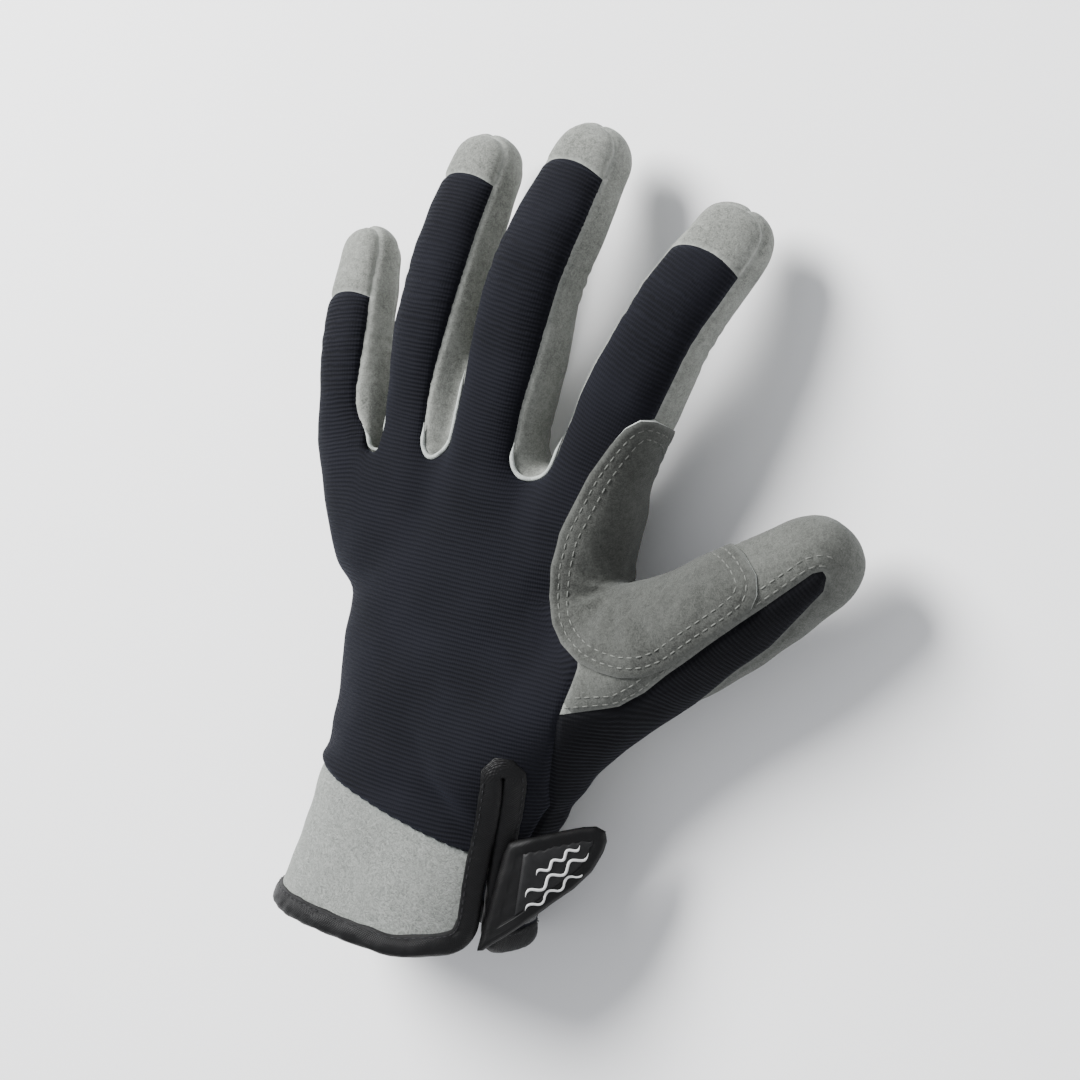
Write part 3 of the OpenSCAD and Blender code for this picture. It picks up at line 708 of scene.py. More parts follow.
# ---- shaders ----
class Shader:
    """A node material on the Principled shader, with its texture in the glove's rest position."""

    def __init__(self, name, roughness, sheen=0.0, sheen_roughness=0.5, tint=(1, 1, 1), specular=0.3):
        self.material = bpy.data.materials.new(name)
        self.material.use_nodes = True
        self.tree = self.material.node_tree
        self.out = self.tree.nodes["Principled BSDF"]
        for key, value in (("Roughness", roughness), ("Sheen Weight", sheen),
                           ("Specular IOR Level", specular), ("Sheen Roughness", sheen_roughness),
                           ("Sheen Tint", (*tint, 1))):
            self.out.inputs[key].default_value = value
        self.rest = self.node("ShaderNodeAttribute", attribute_name="rest").outputs["Vector"]

    def node(self, kind, **settings):
        n = self.tree.nodes.new(kind)
        for key, value in settings.items():
            setattr(n, key, value)
        return n

    def put(self, n, inputs):
        for key, value in inputs.items():
            if isinstance(value, bpy.types.NodeSocket):
                self.tree.links.new(value, n.inputs[key])
            else:
                n.inputs[key].default_value = value
        return n

    def noise(self, scale, detail=3, roughness=0.55, distort=0.0, vector=None):
        n = self.put(self.node("ShaderNodeTexNoise"), {"Vector": vector or self.rest, "Scale": scale,
                     "Detail": detail, "Roughness": roughness, "Distortion": distort})
        return n.outputs["Fac"]

    def math(self, operation, a, b=0.0, c=0.0):
        n = self.node("ShaderNodeMath", operation=operation)
        return self.put(n, {0: a, 1: b, 2: c}).outputs[0]

    def span(self, value, low, high, to_low=0.0, to_high=1.0):
        n = self.put(self.node("ShaderNodeMapRange"), {"Value": value, "From Min": low, "From Max": high,
                     "To Min": to_low, "To Max": to_high})
        return n.outputs[0]

    def mix(self, factor, a, b):
        n = self.node("ShaderNodeMix", data_type="RGBA")
        a = a if isinstance(a, bpy.types.NodeSocket) else (*a, 1)
        b = b if isinstance(b, bpy.types.NodeSocket) else (*b, 1)
        return self.put(n, {0: factor, 6: a, 7: b}).outputs[2]

    def edge(self, reach, low, high=0.0):
        """From low at a seam or cut edge to high at a distance from it, in millimetres."""
        gap = self.node("ShaderNodeAttribute", attribute_name="edge").outputs["Fac"]
        return self.span(gap, 0.0, reach, low, high)

    def thread(self, way, pitch, shift=0.0):
        """A wave across or along the cloth, with its pitch in millimetres."""
        uv = self.put(self.node("ShaderNodeSeparateXYZ"),
                      {0: self.node("ShaderNodeUVMap", uv_map="cloth").outputs[0]})
        place = self.math("MULTIPLY_ADD", uv.outputs[way], 100.0, shift)
        return self.math("SINE", self.math("MULTIPLY", place, 2 * math.pi / pitch))

    def finish(self, color, height, depth, strength=1.0):
        self.put(self.out, {"Base Color": color})
        bump = self.put(self.node("ShaderNodeBump"),
                        {"Height": height, "Distance": depth, "Strength": strength})
        self.put(self.out, {"Normal": bump.outputs["Normal"]})
        return self.material


def knit_shader(name, low, high, pitch=1.12):
    s = Shader(name, 0.88, 0.035, 0.4, (0.6, 0.68, 0.95), 0.12)
    wobble = s.span(s.noise(0.1, 2), 0.3, 0.7, -0.2, 0.2)
    rib = s.span(s.thread(1, pitch, wobble), -1, 1)
    wale = s.thread(0, 0.62)
    fuzz = s.noise(3.2, 4, 0.7)
    height = s.math("MULTIPLY_ADD", wale, 0.09, s.math("MULTIPLY_ADD", fuzz, 0.5, rib))
    # rib crests are painted lighter and the valleys between ribs darker, painted shade of the ribs; the fuzz
    # adds random tone
    shade = s.math("MULTIPLY_ADD", fuzz, 0.45, s.math("MULTIPLY", rib, 0.62))
    color = s.mix(s.span(shade, 0.1, 0.95), low, high)
    color = s.mix(s.span(s.noise(0.05, 3), 0.35, 0.7, 0.0, 0.5), color, tuple(c * 1.25 for c in high))
    worn = s.math("MULTIPLY", s.edge(2.4, 0.3), s.span(fuzz, 0.3, 0.7))
    color = s.mix(worn, color, tuple(2.2 * c for c in high))
    return s.finish(color, height, 0.00024, 0.8)


def suede_shader(name, low, high, pale, grain=1.0):
    s = Shader(name, 0.94, 0.12, 0.5, (0.9, 0.95, 0.92), 0.15)
    fine = s.noise(2.6 * grain, 4, 0.75)
    nap = s.noise(0.75 * grain, 4, 0.65, 0.6)
    broad = s.noise(0.07, 3, 0.5, 0.8)
    both = s.math("MULTIPLY_ADD", fine, 0.7, s.math("MULTIPLY", nap, 0.42))
    color = s.mix(s.span(both, 0.43, 0.69), low, high)
    color = s.mix(s.span(broad, 0.36, 0.66, 0.0, 0.5), color, s.mix(0.5, color, pale))
    rubbed = s.span(s.noise(0.22, 3, 0.6), 0.55, 0.75, 0.0, 0.28)
    color = s.mix(rubbed, color, tuple(c * 0.78 for c in low))
    edge = s.math("MULTIPLY", s.edge(1.3, 0.75), s.span(nap, 0.3, 0.6, 0.5, 1.0))
    color = s.mix(edge, color, pale)
    return s.finish(color, both, 0.00042, 0.75)


def felt_shader():
    s = Shader("cuff_felt", 0.95, 0.15, 0.6, (0.95, 1, 0.97), 0.12)
    stretch = s.put(s.node("ShaderNodeMapping"), {"Vector": s.rest, "Scale": (0.8, 1.6, 1.2)})
    fibre = s.noise(1.5, 5, 0.7, 2.2, stretch.outputs[0])
    curl = s.noise(0.55, 4, 0.6, 3.0)
    both = s.math("MULTIPLY_ADD", fibre, 0.6, s.math("MULTIPLY", curl, 0.5))
    color = s.mix(s.span(both, 0.44, 0.66), (0.10, 0.106, 0.098), (0.29, 0.302, 0.282))
    color = s.mix(s.span(s.noise(0.09, 2), 0.4, 0.65, 0.0, 0.25), color, (0.2, 0.21, 0.195))
    color = s.mix(s.edge(1.6, 0.5), color, (0.15, 0.165, 0.16))
    return s.finish(color, both, 0.0006, 0.8)


def tape_shader(name, low, high, pitch, roughness=0.5, depth=0.00022):
    s = Shader(name, roughness, 0.0, 0.4, (0.8, 0.85, 1), 0.2)
    weave = s.span(s.math("MULTIPLY", s.thread(0, pitch), s.thread(1, pitch)), -1, 1)
    crease = s.noise(0.4, 3, 0.6, 0.5)
    height = s.math("MULTIPLY_ADD", crease, 1.6, s.math("MULTIPLY", weave, 0.5))
    color = s.mix(s.span(s.math("MULTIPLY_ADD", weave, 0.35, crease), 0.3, 1.1), low, high)
    dust = s.span(s.noise(1.8, 4, 0.7), 0.6, 0.8, 0.0, 0.12)
    color = s.mix(dust, color, tuple(3 * c for c in high))
    return s.finish(color, height, depth, 0.8)


def pile_shader(name, low, high, scale):
    s = Shader(name, 0.9, 0.25, 0.6, (1, 1, 1), 0.25)
    cells = s.put(s.node("ShaderNodeTexVoronoi"), {"Vector": s.rest, "Scale": scale})
    loops = s.math("MULTIPLY_ADD", s.noise(scale * 1.6, 3, 0.7), 0.7, cells.outputs["Distance"])
    color = s.mix(s.span(loops, 0.35, 1.15), low, high)
    return s.finish(color, loops, 0.0006, 1.0)


NAVY_LOW, NAVY_HIGH = (0.0014, 0.0015, 0.0024), (0.0058, 0.0061, 0.0094)
GREY_LOW, GREY_HIGH, GREY_PALE = (0.080, 0.083, 0.075), (0.230, 0.238, 0.216), (0.31, 0.32, 0.295)


# the suede's greys scaled down: painted shade for copies of the suede on surfaces that face away from the
# light
def shaded_greys(share):
    return [tuple(c * share for c in grey) for grey in (GREY_LOW, GREY_HIGH, GREY_PALE)]


MATERIAL = {
    "knit": knit_shader("knit", NAVY_LOW, NAVY_HIGH),
    "suede": suede_shader("suede", GREY_LOW, GREY_HIGH, GREY_PALE),
    # suede_thumb_painted_shade: the same suede with painted shade, darker because the thumb faces away from
    # the light
    "suede_thumb_painted_shade": suede_shader("suede_thumb_painted_shade", *shaded_greys(0.48)),
    # suede_patch_painted_shade: the same suede with deeper painted shade, darker because the saddle patch
    # faces away from the light
    "suede_patch_painted_shade": suede_shader("suede_patch_painted_shade", *shaded_greys(0.32)),
    # knit_painted_shade: the same knit made nearly black, painted shade for the thumb side panel, which faces
    # away from the light
    "knit_painted_shade": knit_shader("knit_painted_shade", (0.0010, 0.0010, 0.0014), (0.0030, 0.0031, 0.0042)),
    # suede_edge_painted_highlight: pale suede on the patches' cut edges, a painted highlight where the edge
    # catches the light
    "suede_edge_painted_highlight": suede_shader("suede_edge_painted_highlight", GREY_HIGH, GREY_PALE, (0.55, 0.58, 0.55)),
    # web: pale suede for the crotch rims, a painted highlight of the suede's fuzz seen at a grazing angle
    "web": suede_shader("web", (0.27, 0.29, 0.27), (0.47, 0.50, 0.47), (0.58, 0.6, 0.58), 1.5),
    "cuff_felt": felt_shader(),
    "trim": tape_shader("trim", (0.0008, 0.0008, 0.0009), (0.0032, 0.0032, 0.0036), 0.7, 0.5),
    "tab": tape_shader("tab", (0.0009, 0.0009, 0.001), (0.003, 0.003, 0.0033), 0.6, 0.46, 0.00014),
    "label": tape_shader("label", (0.006, 0.006, 0.0064), (0.014, 0.014, 0.0146), 0.5, 0.5, 0.00012),
    "hook_and_loop": pile_shader("hook_and_loop", (0.003, 0.003, 0.0033), (0.02, 0.02, 0.021), 1.6),
    "thread": tape_shader("thread", (0.085, 0.088, 0.08), (0.165, 0.17, 0.155), 0.5, 0.6, 0.0001),
    "black_thread": tape_shader("black_thread", (0.006, 0.006, 0.007), (0.03, 0.03, 0.033), 0.5, 0.5, 0.0001),
    "mark": tape_shader("mark", (0.5, 0.5, 0.5), (0.75, 0.75, 0.74), 0.4, 0.45, 0.0001),
    "lining": knit_shader("lining", (0.006, 0.0065, 0.009), (0.02, 0.021, 0.026), 0.9),
}


# ---- pieces ----
SHOWN = set()


def piece(name, V, F, material, uv=None, normals=None, rest=None, edge=None, second=None):
    """A mesh object from points in the hand frame. uv is across and along in millimetres, for each point."""
    used, inverse = np.unique(F, return_inverse=True)
    F = inverse.reshape(F.shape)
    mesh = bpy.data.meshes.new(name)
    mesh.from_pydata(row(V[used]).tolist(), [], F.tolist())
    mesh.materials.append(MATERIAL[material])
    if second:
        mesh.materials.append(MATERIAL[second[0]])
        mesh.polygons.foreach_set("material_index", second[1].astype(int))
    mesh.polygons.foreach_set("use_smooth", np.ones(len(F), bool))
    layer = mesh.uv_layers.new(name="cloth")
    uv = V[:, :2] if uv is None else uv
    layer.data.foreach_set("uv", (uv[used][F] / 100).astype(np.float32).ravel())
    rest = V if rest is None else rest
    mesh.attributes.new("rest", "FLOAT_VECTOR", "POINT").data.foreach_set(
        "vector", rest[used].astype(np.float32).ravel())
    edge = np.full(len(V), 9.0) if edge is None else edge
    mesh.attributes.new("edge", "FLOAT", "POINT").data.foreach_set("value", edge[used].astype(np.float32))
    if normals is not None:
        mesh.normals_split_custom_set(normals.reshape(-1, 3).tolist())
    obj = bpy.data.objects.new(name, mesh)
    bpy.context.scene.collection.objects.link(obj)
    return obj


def stand_for(obj, *nodes):
    """Hides the CAD nodes that a piece takes the place of, and adds them to SHOWN."""
    if nodes:
        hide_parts(*nodes)
    SHOWN.update(nodes)


def attach(obj, zone):
    """Makes a piece follow the hand in zone 0, and fixes it in place in every other zone."""
    if zone == 0:
        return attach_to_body(obj, "hand")
    if zone == 5:
        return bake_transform(obj)
    if zone == 10:
        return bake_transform(obj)
    k = (zone - 1) % 5
    tube, key = TUBES[k], NAMES[k]
    a, m, end = tube.c[9], tube.c[18], tube.c[-1]
    d = unit(m - a)
    if zone < 5:
        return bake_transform(obj)
    d = unit(d + unit(end - m))
    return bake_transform(obj)


def zone_name(zone):
    if zone == 0:
        return "hand"
    return (NAMES + ["thumb"])[(zone - 1) % 5] + ("_base" if zone < 6 else "_tip")


def zones_of(p):
    """The zone of single points, such as stitches."""
    _p, n = settle(p, 1)
    a = measure(p, n)
    z = np.zeros(len(p), int)
    for k in range(5):
        z[a[:, COL["z%d" % k]] > 0] = 1 + k
        z[a[:, COL["t%d" % k]] > 0] = 6 + k
    return z


WEBS = ["web_index_middle", "web_middle_ring", "web_ring_little"]


def nodes_of(p, z):
    """The CAD nodes that a panel's piece in a zone stands for."""
    if z == 0:
        return {0: ["back_panel"], 1: ["thumb_side_panel"], 2: ["palm_panel", "index_side_panel"],
                3: ["thumb_root_wrap"], 4: WEBS[:1], 5: WEBS[1:2], 6: WEBS[2:], 11: ["cuff_band"],
                12: ["cuff_flap"], 13: ["cuff_palm"]}.get(p, [])
    if z in (5, 10):
        part = "base" if z == 5 else "tip"
        return {1: ["thumb_%s_back" % part] + (["thumb_root_back"] if z == 5 else []),
                3: ["thumb_%s_wrap" % part] + (["thumb_cap"] if z == 10 else [])}.get(p, [])
    k = (z - 1) % 5
    part = NAMES[k] + ("_base_" if z < 6 else "_tip_")
    if p == 0:
        return [part + "back"]
    if p == 2:
        return [part + "palm"]
    if p in (4, 5, 6):
        return [part + ("out" if p - 4 == k else "in")] if p - 4 <= k <= p - 3 else []
    return [NAMES[k] + "_cap"] if p == 7 + k and z > 5 else []


SLOTS = ["knit"] * 2 + ["suede"] * 9 + ["cuff_felt", "knit", "knit"]
# the knit side panel takes the knit with painted shade, and the thumb's suede the suede with painted shade
LOOKS = ["knit", "knit_painted_shade", "suede", "suede_thumb_painted_shade"] + SLOTS[4:]
UVS = A[:, [COL["across"], COL["along"]]]
for z in range(11):
    for p in range(len(PANELS)):
        s = (zone == z) & (panel == p)
        if s.any():
            obj = piece(PANELS[p] + "_" + zone_name(z), SKIN, F[s], LOOKS[p], UVS,
                        SKIN_NORMALS[s], V, EDGE)
            attach(obj, z)
            stand_for(obj, *nodes_of(p, z))

# inner face of the hand and cuff, seen through the wrist opening
s = (zone == 0) & (mid[:, 1] < 12)
inner = V - N * 1.7 + N * smooth_rise[:, None]
flipped = F[s][:, ::-1]
obj = piece("lining_hand", inner, flipped, "lining", UVS, corner_normals(inner, flipped), V)
attach(obj, 0)


def second_layer(name, column, thick, rows, material, edge_material, slot, nodes):
    """A patch sewn on top of the skin, with a cut edge and a dimple under each row of stitches."""
    inside = at[column] > 0
    tri = F[inside]
    used = np.unique(tri)
    away = np.full(len(V), 30.0)
    outline = borders(F, inside.astype(int), len(V))
    away[used] = gap_to(points_of(outline, lambda t: t[:, 0] == 0), V[used])
    top = smooth_rise + thick * (1 - 0.3 * np.exp(-(away / 0.45) ** 2))
    top = top + 0.25 * (1 - np.exp(-(away / 6) ** 2))
    for r in rows:
        top -= 0.24 * np.exp(-((away - r) / 0.5) ** 2)
    P = V + N * top[:, None]
    normals = corner_normals(P, tri)
    # the cut edge round the outline
    a, b, owner = open_edges(tri, len(V))
    low = V + N * (smooth_rise - 0.75)[:, None]
    count = len(V)
    both = np.vstack([P, low])
    rest2, uv2, edge2 = np.vstack([V, V]), np.vstack([UVS, UVS]), np.concatenate([away, away * 0])
    side = np.vstack([np.stack([b, a, a + count], 1), np.stack([b, a + count, b + count], 1)])
    side_normals = corner_normals(both, side)
    side_owner = np.concatenate([owner, owner])
    zz = zone[inside]
    for z in np.unique(zz):
        s, t = zz == z, zz[side_owner] == z
        faces = np.vstack([tri[s], side[t]])
        normal = np.vstack([normals[s], side_normals[t]])
        index = np.concatenate([np.zeros(s.sum()), np.ones(t.sum())])
        obj = piece(name + "_" + zone_name(z), both, faces, material, uv2, normal, rest2, edge2,
                    (edge_material, index))
        attach(obj, z)
        stand_for(obj, *nodes.get(int(z), []))
    return P, tri, away


def stitches(name, places, material, length=1.75, radius=0.2, body=None):
    """Short raised threads; each place is (centre, direction, normal)."""
    if not places:
        return
    c, d, n = (np.array(a) for a in zip(*places))
    side = unit(np.cross(d, n))
    half = [(-0.5, 0.15, -0.7), (-0.42, 0.8, 0.1), (-0.2, 1, 0.45)]
    rings = half + [(-t, r, lift) for t, r, lift in half[::-1]]
    turns = [2 * math.pi * k / 6 for k in range(6)]
    shape = np.array([(t * length, r * radius * math.cos(a), (r * math.sin(a) * 0.8 + lift) * radius)
                      for t, r, lift in rings for a in turns])
    P = (c[:, None] + shape[None, :, :1] * d[:, None] + shape[None, :, 1:2] * side[:, None]
         + shape[None, :, 2:] * n[:, None])
    tri = ring_faces(len(rings), len(turns))[:, ::-1]
    faces = (tri[None] + len(shape) * np.arange(len(c))[:, None, None]).reshape(-1, 3)
    owner = np.repeat(np.arange(len(c)), len(tri))
    P = P.reshape(-1, 3)
    if body:
        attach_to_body(piece(name, P, faces, material), body)
        return
    z = zones_of(c)
    for k in np.unique(z):
        obj = piece(name + "_" + zone_name(k), P, faces[z[owner] == k], material)
        attach(obj, int(k))


def rows_on(P, tri, away, level, step, want=None, shortest=8.0):
    """Places for a row of stitches at a distance from an edge."""
    n = np.zeros_like(P)
    n[tri] = corner_normals(P, tri)
    places = []
    for line, normal in contour(P, n, tri, away, level):
        if want is not None:
            ok = want(line)
            if ok.sum() < 4:
                continue
            line, normal = line[ok], normal[ok]
        if np.linalg.norm(np.diff(line, axis=0), axis=1).sum() < shortest:
            continue
        q, m = even(line, step, other=normal)
        jump = np.linalg.norm(np.diff(q, axis=0), axis=1) < step * 1.6
        for i in np.nonzero(jump)[0]:
            d = unit(q[i + 1] - q[i])
            k = unit(m[i] + m[i + 1])
            places.append(((q[i] + q[i + 1]) / 2, unit(d - k * (d @ k)), k))
    return places


STITCH = 2.6
rows = []
# the saddle patch takes the suede with painted shade
for name, column, thick, levels, look, nodes in (
        ("saddle_patch", "saddle", 1.15, (2.3, 4.7), "suede_patch_painted_shade",
         {0: ["saddle_patch"], 5: ["thumb_patch"]}),
        ("palm_patch", "pad", 1.1, (2.2,), "suede", {0: ["palm_patch"]})):
    # the patches' cut edges take the pale suede with a painted highlight
    P, tri, away = second_layer(name, column, thick, levels, look, "suede_edge_painted_highlight", "suede", nodes)
    for level in levels:
        rows += rows_on(P, tri, away, level, STITCH)
second_layer("loop_pad", "loop", 0.9, (), *["hook_and_loop"] * 3, {0: ["loop_pad"]})
# rows beside the thumb's seam, on the suede
line = points_of(SEAMS, lambda t: (t[:, 0] == 1) & ((t[:, 1] == 3) | (t[:, 1] == 2)))
grey = ((panel == 3) | (panel == 2)) & (at["saddle"] < -0.3) & (mid[:, 1] > -70)
tri = F[grey]
away = np.full(len(V), 30.0)
used = np.unique(tri)
used = used[np.abs(V[used, 2] - 28) < 20]
away[used] = gap_to(line, V[used])
for level in (1.7, 4.0):
    rows += rows_on(SKIN, tri, away, level, STITCH,
                    lambda q: (q[:, 2] > 16) & (q @ ABOVE + 12 - (q @ RIGHT - 67) * 1.03 > 4))
stitches("stitches", rows, "thread")


# ---- bindings: tape folded over the edge of the hem and of the slit ----
a, b, tags = SEAMS
s = tags[:, 0] == -1
loop = np.array(max(chains(np.stack([a[s], b[s]], 1).tolist()), key=len))
path, out = even(V[loop], 1.1, closed=True, soften=3, other=N[loop])
path, out = path[:-1], out[:-1]
path, out = settle(path, 1)
tangent = unit(np.roll(path, -1, axis=0) - np.roll(path, 1, axis=0))
inward = unit(np.cross(out, tangent))
if measure(*settle(path[:40] + inward[:40] * 2, 1))[:, COL["keep"]].mean() < 1.0:
    inward = -inward
s = np.concatenate([[0], np.cumsum(np.linalg.norm(np.diff(path, axis=0), axis=1))])
total = s[-1] + np.linalg.norm(path[0] - path[-1])
ring = np.stack([np.cos(s / total * 2 * math.pi), np.sin(s / total * 2 * math.pi), 0 * s], 1) * total / 6.283
PROFILE = [(4.75, -0.1), (4.8, 0.35), (4.55, 0.72), (4.1, 0.86), (3.6, 0.84), (2.8, 1.12), (1.6, 1.3),
           (0.5, 1.3), (-0.45, 1.05), (-1.15, 0.45), (-1.4, -0.35), (-1.3, -1.2), (-0.8, -1.95),
           (0.1, -2.4), (1.4, -2.6), (3.2, -2.6), (4.6, -2.5), (4.9, -2.2), (4.6, -1.7)]
grid = []
for k, (b, h) in enumerate(PROFILE):
    pucker = waves(ring + (0, 0, b * 0.8), (3.1, 5.5), 11)
    b = b + 0.16 * waves(ring + (0, 0, 1.7 * k), (4.0, 9.0), 12)
    h = h + 0.13 * pucker * (1 if h > -1 else 0.5) + 0.1 * waves(ring, (24,), 13)
    base, normal = settle(path + inward * b[:, None], 1)
    grid.append(base + normal * h[:, None])
grid = np.stack(grid, 1)
count, width = grid.shape[:2]
faces = ring_faces(count, width, closed=True)
spans = np.tile(np.repeat(np.arange(count), width), 2)
P = grid.reshape(-1, 3)
test = np.cross(P[faces[:, 1]] - P[faces[:, 0]], P[faces[:, 2]] - P[faces[:, 0]])
mid_line = grid.mean(1)[spans]
if ((P[faces].mean(1) - mid_line) * test).sum() < 0:
    faces = faces[:, ::-1]
normals = corner_normals(P, faces)
uv = np.stack([np.repeat(s, width), np.tile(0.9 * np.arange(1, width + 1), count)], 1)
up_slit = (path[:, 1] > -97) & (path[:, 2] > 24)
for name, pick in (("slit_binding", up_slit[spans]), ("cuff_binding", ~up_slit[spans])):
    obj = piece(name, P, faces[pick], "trim", uv, normals[pick])
    attach(obj, 0)
    stand_for(obj, name)
places = []
q, m = settle(path + inward * 3.85, 1)
q = q + m * 0.88
for i in range(0, count - 2, 2):
    d = unit(q[i + 1] - q[i])
    places.append(((q[i] + q[i + 1]) / 2, unit(d - m[i] * (d @ m[i])), m[i]))
stitches("binding_stitches", places, "black_thread", 1.35, 0.14)


# ---- crotch rims: the turned, fuzzy edge of each strip where two fingers part, in pale suede that paints the highlight of its fuzz ----
def tube_mesh(line, normal, half, lift, sides=7):
    t = unit(np.gradient(line, axis=0))
    side = unit(np.cross(t, normal))
    fade = np.clip(np.minimum(np.arange(len(line)), np.arange(len(line))[::-1]) / 5, 0.15, 1)[:, None, None]
    a = 2 * math.pi * np.arange(sides) / sides
    cos, sin = np.cos(a)[None, :, None], np.sin(a)[None, :, None]
    offset = side[:, None] * cos * half + normal[:, None] * sin * half * 0.8
    P = line[:, None] + normal[:, None] * lift + offset * fade
    return P.reshape(-1, 3), ring_faces(len(line), sides)[:, ::-1]


a, b, tags = SEAMS
for k in range(3):
    pick = (tags[:, 0] == 0) & (tags[:, 1] == 4 + k)
    for line in chains(np.stack([a[pick], b[pick]], 1).tolist()):
        if len(line) < 30:
            continue
        line = np.array(line)
        q = A[line, COL["z%d" % k]], A[line, COL["z%d" % (k + 1)]]
        low = (q[0] < 5) & (q[1] < 5)
        if low.sum() < 6:
            continue
        i = np.nonzero(low)[0]
        line = line[i[0]:i[-1] + 1]
        p, n = even(V[line], 0.8, other=N[line])
        n = unit(n + (0, 0, 0.4))
        P, faces = tube_mesh(p, n, 0.62, 0.1)
        P = P + 0.12 * waves(P, (2.2, 4.5), 40 + k)[:, None]
        at_zone = zones_of(p)[faces.min(1) // 7]
        for z in np.unique(at_zone):
            name = "crotch_rim_%d_%d_%s" % (k, len(line), zone_name(z))
            obj = piece(name, P, faces[at_zone == z], "web")
            attach(obj, z)
            if z == 0 and WEBS[k] not in SHOWN:
                stand_for(obj, WEBS[k])


# ---- closure tab ----
TAB_ROOT = HINGE["tab_fold"] - SHIFT
slope_angle = math.radians(40)
TAB_U = vec(math.cos(slope_angle), 0, -math.sin(slope_angle))
TAB_N = vec(math.sin(slope_angle), 0, math.cos(slope_angle))
TAB_OUTLINE = [(6.2, 14.6), (10, 16.3), (19, 19.6), (25, 21.6), (28.2, 22.2), (30.6, 21.2),
               (31.4, 18.6), (30.9, 15.5), (28.8, 10.2), (24.8, 5.2), (19.7, 0.6), (12, -7),
               (6.5, -12.6), (4.2, -15), (2.6, -15.4)]


def flat_mesh(outline, step=0.75):
    """Flat triangles inside an outline, with their distance from it."""
    pts = np.array(outline, float)
    low, high = pts.min(0) - 1, pts.max(0) + 1
    nu, nv = np.ceil((high - low) / step).astype(int) + 1
    i, j = np.meshgrid(np.arange(nu), np.arange(nv), indexing="ij")
    p = np.stack([low[0] + step * i, low[1] + step * j, 0 * i], -1).reshape(-1, 3)
    a = (i[:-1, :-1] * nv + j[:-1, :-1]).ravel()
    tri = np.vstack([np.stack([a, a + nv, a + nv + 1], 1), np.stack([a, a + nv + 1, a + 1], 1)])
    for d in (0, 3.05):
        p, _a, tri = cut(p, p, tri, to_outline(p[:, :2], pts) - d, 0.12)
        tri = tri[to_outline(p[tri].mean(1)[:, :2], pts) > 0]
    p, _a, tri = compact(p, p, tri)
    return p, tri, np.maximum(to_outline(p[:, :2], pts), 0)


def on_tab(u, v, h):
    """Tab coordinates to the hand frame: the tab dips to its sewn edge and curls a little at its free end."""
    bend = -3.6 * (1 - smooth(u, 2, 13)) + 0.0011 * np.maximum(0, u - 8) ** 2
    bend = bend + 0.35 * np.sin(v * 0.16 + u * 0.1)
    return TAB_ROOT + u[:, None] * TAB_U + v[:, None] * vec(0, 1, 0) + (h + bend + 0.9)[:, None] * TAB_N


def plate(name, p, tri, top, bottom, slot, edge=None):
    """A closed plate between two heights on the tab, over flat triangles."""
    n = len(p)
    a, b, _owner = open_edges(tri, n)
    P = np.vstack([on_tab(p[:, 0], p[:, 1], top), on_tab(p[:, 0], p[:, 1], bottom)])
    faces = np.vstack([tri, tri[:, ::-1] + n, np.stack([b, a, a + n], 1), np.stack([b, a + n, b + n], 1)])
    return piece(name, P, faces, slot, np.vstack([p, p])[:, :2], corner_normals(P, faces), P, edge)


p, tri, d = flat_mesh(TAB_OUTLINE)
x = np.clip(d / 1.2, 0, 1)
half = 0.95 * np.sqrt(np.maximum(0, 1 - (1 - x) ** 2))
uneven = 0.06 * waves(p, (3.0, 6.0), 51)
border = 0.28 * (1 - smooth(d, 2.75, 3.3)) * smooth(d, 0.4, 1.4) - 0.16 * np.exp(-((d - 2.1) / 0.3) ** 2)
obj = plate("closure_tab", p, tri, half * 0.98 + border + uneven, -half, "tab", np.concatenate([d, d]))
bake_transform(obj)
stand_for(obj, "closure_tab")
FACE_FROM = 10.6
inside = (d[tri].min(1) > 3.2) & (p[tri].mean(1)[:, 0] > FACE_FROM)
fp, _a, face = compact(p, p, tri[inside])
fd = to_outline(fp[:, :2], TAB_OUTLINE)
puff = 0.55 * smooth(fd, 3.0, 6.0) + 0.05 * waves(fp, (7.0, 4.0), 52)
obj = plate("tab_face", fp, face, 0.95 + puff, 0 * puff + 0.4, "label")
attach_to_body(obj, "tab")
stand_for(obj, "tab_label")
# stitching round the tab's border
places = []
for line, _n in contour(p, np.tile(UP, (len(p), 1)), tri, d, 2.1):
    q = even(line, 1.9)
    keep = q[:, 0] > FACE_FROM
    for i in range(len(q) - 1):
        if keep[i] and keep[i + 1]:
            a, b = on_tab(q[i:i + 2, 0], q[i:i + 2, 1], np.full(2, 0.17))
            if np.linalg.norm(b - a) < 3:
                places.append(((a + b) / 2, unit(b - a), TAB_N))
stitches("tab_stitches", places, "black_thread", 1.3, 0.13, "tab")
# a generic mark of three waves
marks = []
for start, end, size in (((12.5, 2.0), (27.0, 15.2), 1.0), ((13.0, -1.8), (26.5, 10.6), 0.85),
                         ((14.5, 8.0), (24.5, 16.9), 0.7)):
    a, b = np.array(start), np.array(end)
    t = np.linspace(0, 1, 60)
    way = unit(b - a)
    q = a + t[:, None] * (b - a) + (size * np.sin(t * 2 * math.pi * 3))[:, None] * vec(-way[1], way[0])
    fd = to_outline(q, TAB_OUTLINE)
    line = on_tab(q[:, 0], q[:, 1], 0.95 + 0.55 * smooth(fd, 3.0, 6.0) + 0.05)
    marks.append(tube_mesh(line, np.tile(TAB_N, (60, 1)), 0.36, 0.0, 6))
count = len(marks[0][0])
obj = piece("tab_wave_mark", np.vstack([m[0] for m in marks]),
            np.vstack([m[1] + count * k for k, m in enumerate(marks)]), "mark")
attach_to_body(obj, "tab")
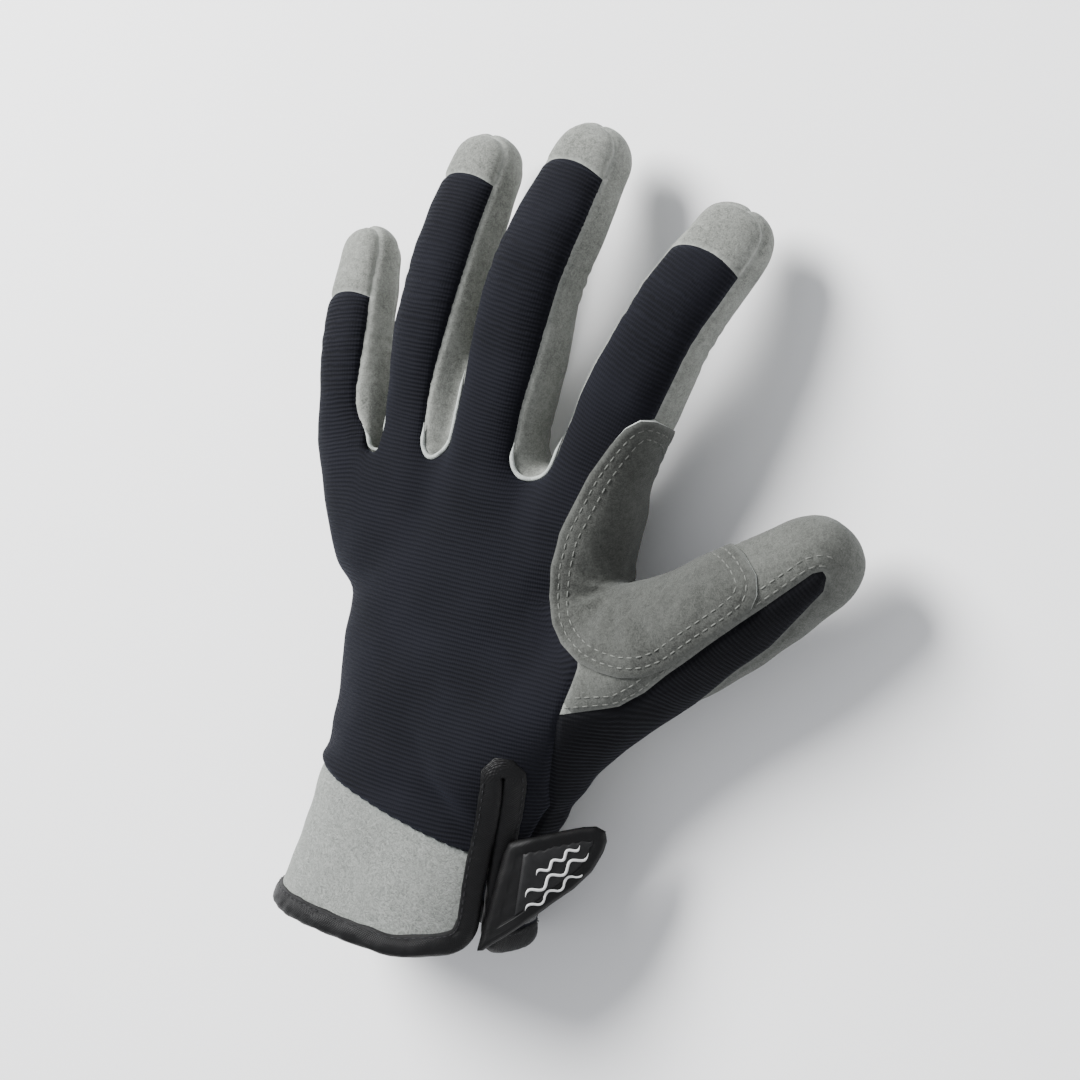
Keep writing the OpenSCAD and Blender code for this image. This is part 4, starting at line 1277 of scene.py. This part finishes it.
# hook pad under the tab
hooks = (d[tri].min(1) > 2.4) & (p[tri].mean(1)[:, 0] > 12.5)
fp, _a, face = compact(p, p, tri[hooks])
hd = np.maximum(to_outline(fp[:, :2], TAB_OUTLINE) - 2.4, 0)
rough = 0.10 * waves(fp, (1.7, 2.6), 61)
obj = plate("hook_pad", fp, face, 0 * hd - 0.7, -1.2 - 0.6 * smooth(hd, -0.3, 0.9) + rough, "hook_and_loop")
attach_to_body(obj, "tab")
stand_for(obj, "hook_pad")


# ---- floor, light and camera ----
def floor_material():
    s = Shader("floor", 0.75, specular=0.15)
    grain = s.node("ShaderNodeTexCoord").outputs["Object"]
    soft = s.noise(2.0, 2, 0.5, vector=grain)
    color = s.mix(s.span(soft, 0.3, 0.7), (0.90, 0.90, 0.90), (0.93, 0.93, 0.93))
    return s.finish(color, s.noise(400, 2, 0.5, vector=grain), 0.0001, 0.1)


mesh = bpy.data.meshes.new("floor")
mesh.from_pydata([(-3, -3, 0), (3, -3, 0), (3, 3, 0), (-3, 3, 0)], [], [(0, 1, 2, 3)])
mesh.materials.append(floor_material())
floor = bpy.data.objects.new("floor", mesh)
bpy.context.scene.collection.objects.link(floor)
floor.location.z = min(CAD_BOX[0][2], float(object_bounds()[0][2])) - 0.0004


def area_light(name, place, aim, size, power, color=(1, 1, 1)):
    light = bpy.data.lights.new(name, "AREA")
    light.shape = "DISK"
    light.size = size
    light.energy = power
    light.color = color
    obj = bpy.data.objects.new(name, light)
    bpy.context.scene.collection.objects.link(obj)
    obj.location = place
    obj.rotation_euler = (Vector(aim) - Vector(place)).to_track_quat("-Z", "Y").to_euler()
    return obj


area_light("key", (-0.72, 0.62, 0.98), (0, 0, 0.02), 0.8, 60.0)
area_light("fill", (0.95, -0.35, 0.6), (0, 0, 0.02), 1.1, 0.8)
area_light("low", (0.2, -0.9, 0.35), (0, -0.03, 0.02), 0.8, 0.8)
world = bpy.data.worlds.new("studio")
world.use_nodes = True
world.node_tree.nodes["Background"].inputs[0].default_value = (0.93, 0.95, 1.0, 1)
world.node_tree.nodes["Background"].inputs[1].default_value = 0.72
bpy.context.scene.world = world

camera = bpy.data.cameras.new("camera")
camera.sensor_width = 36
camera.lens = 80.2
camera.clip_start = 0.01
eye = bpy.data.objects.new("camera", camera)
bpy.context.scene.collection.objects.link(eye)
place = Matrix.Identity(4)
for column, axis in enumerate((RIGHT, ABOVE, BACK)):
    for line in range(3):
        place[line][column] = axis[line]
for line in range(3):
    place[line][3] = row(EYE)[line]
eye.matrix_world = place
bpy.context.scene.camera = eye
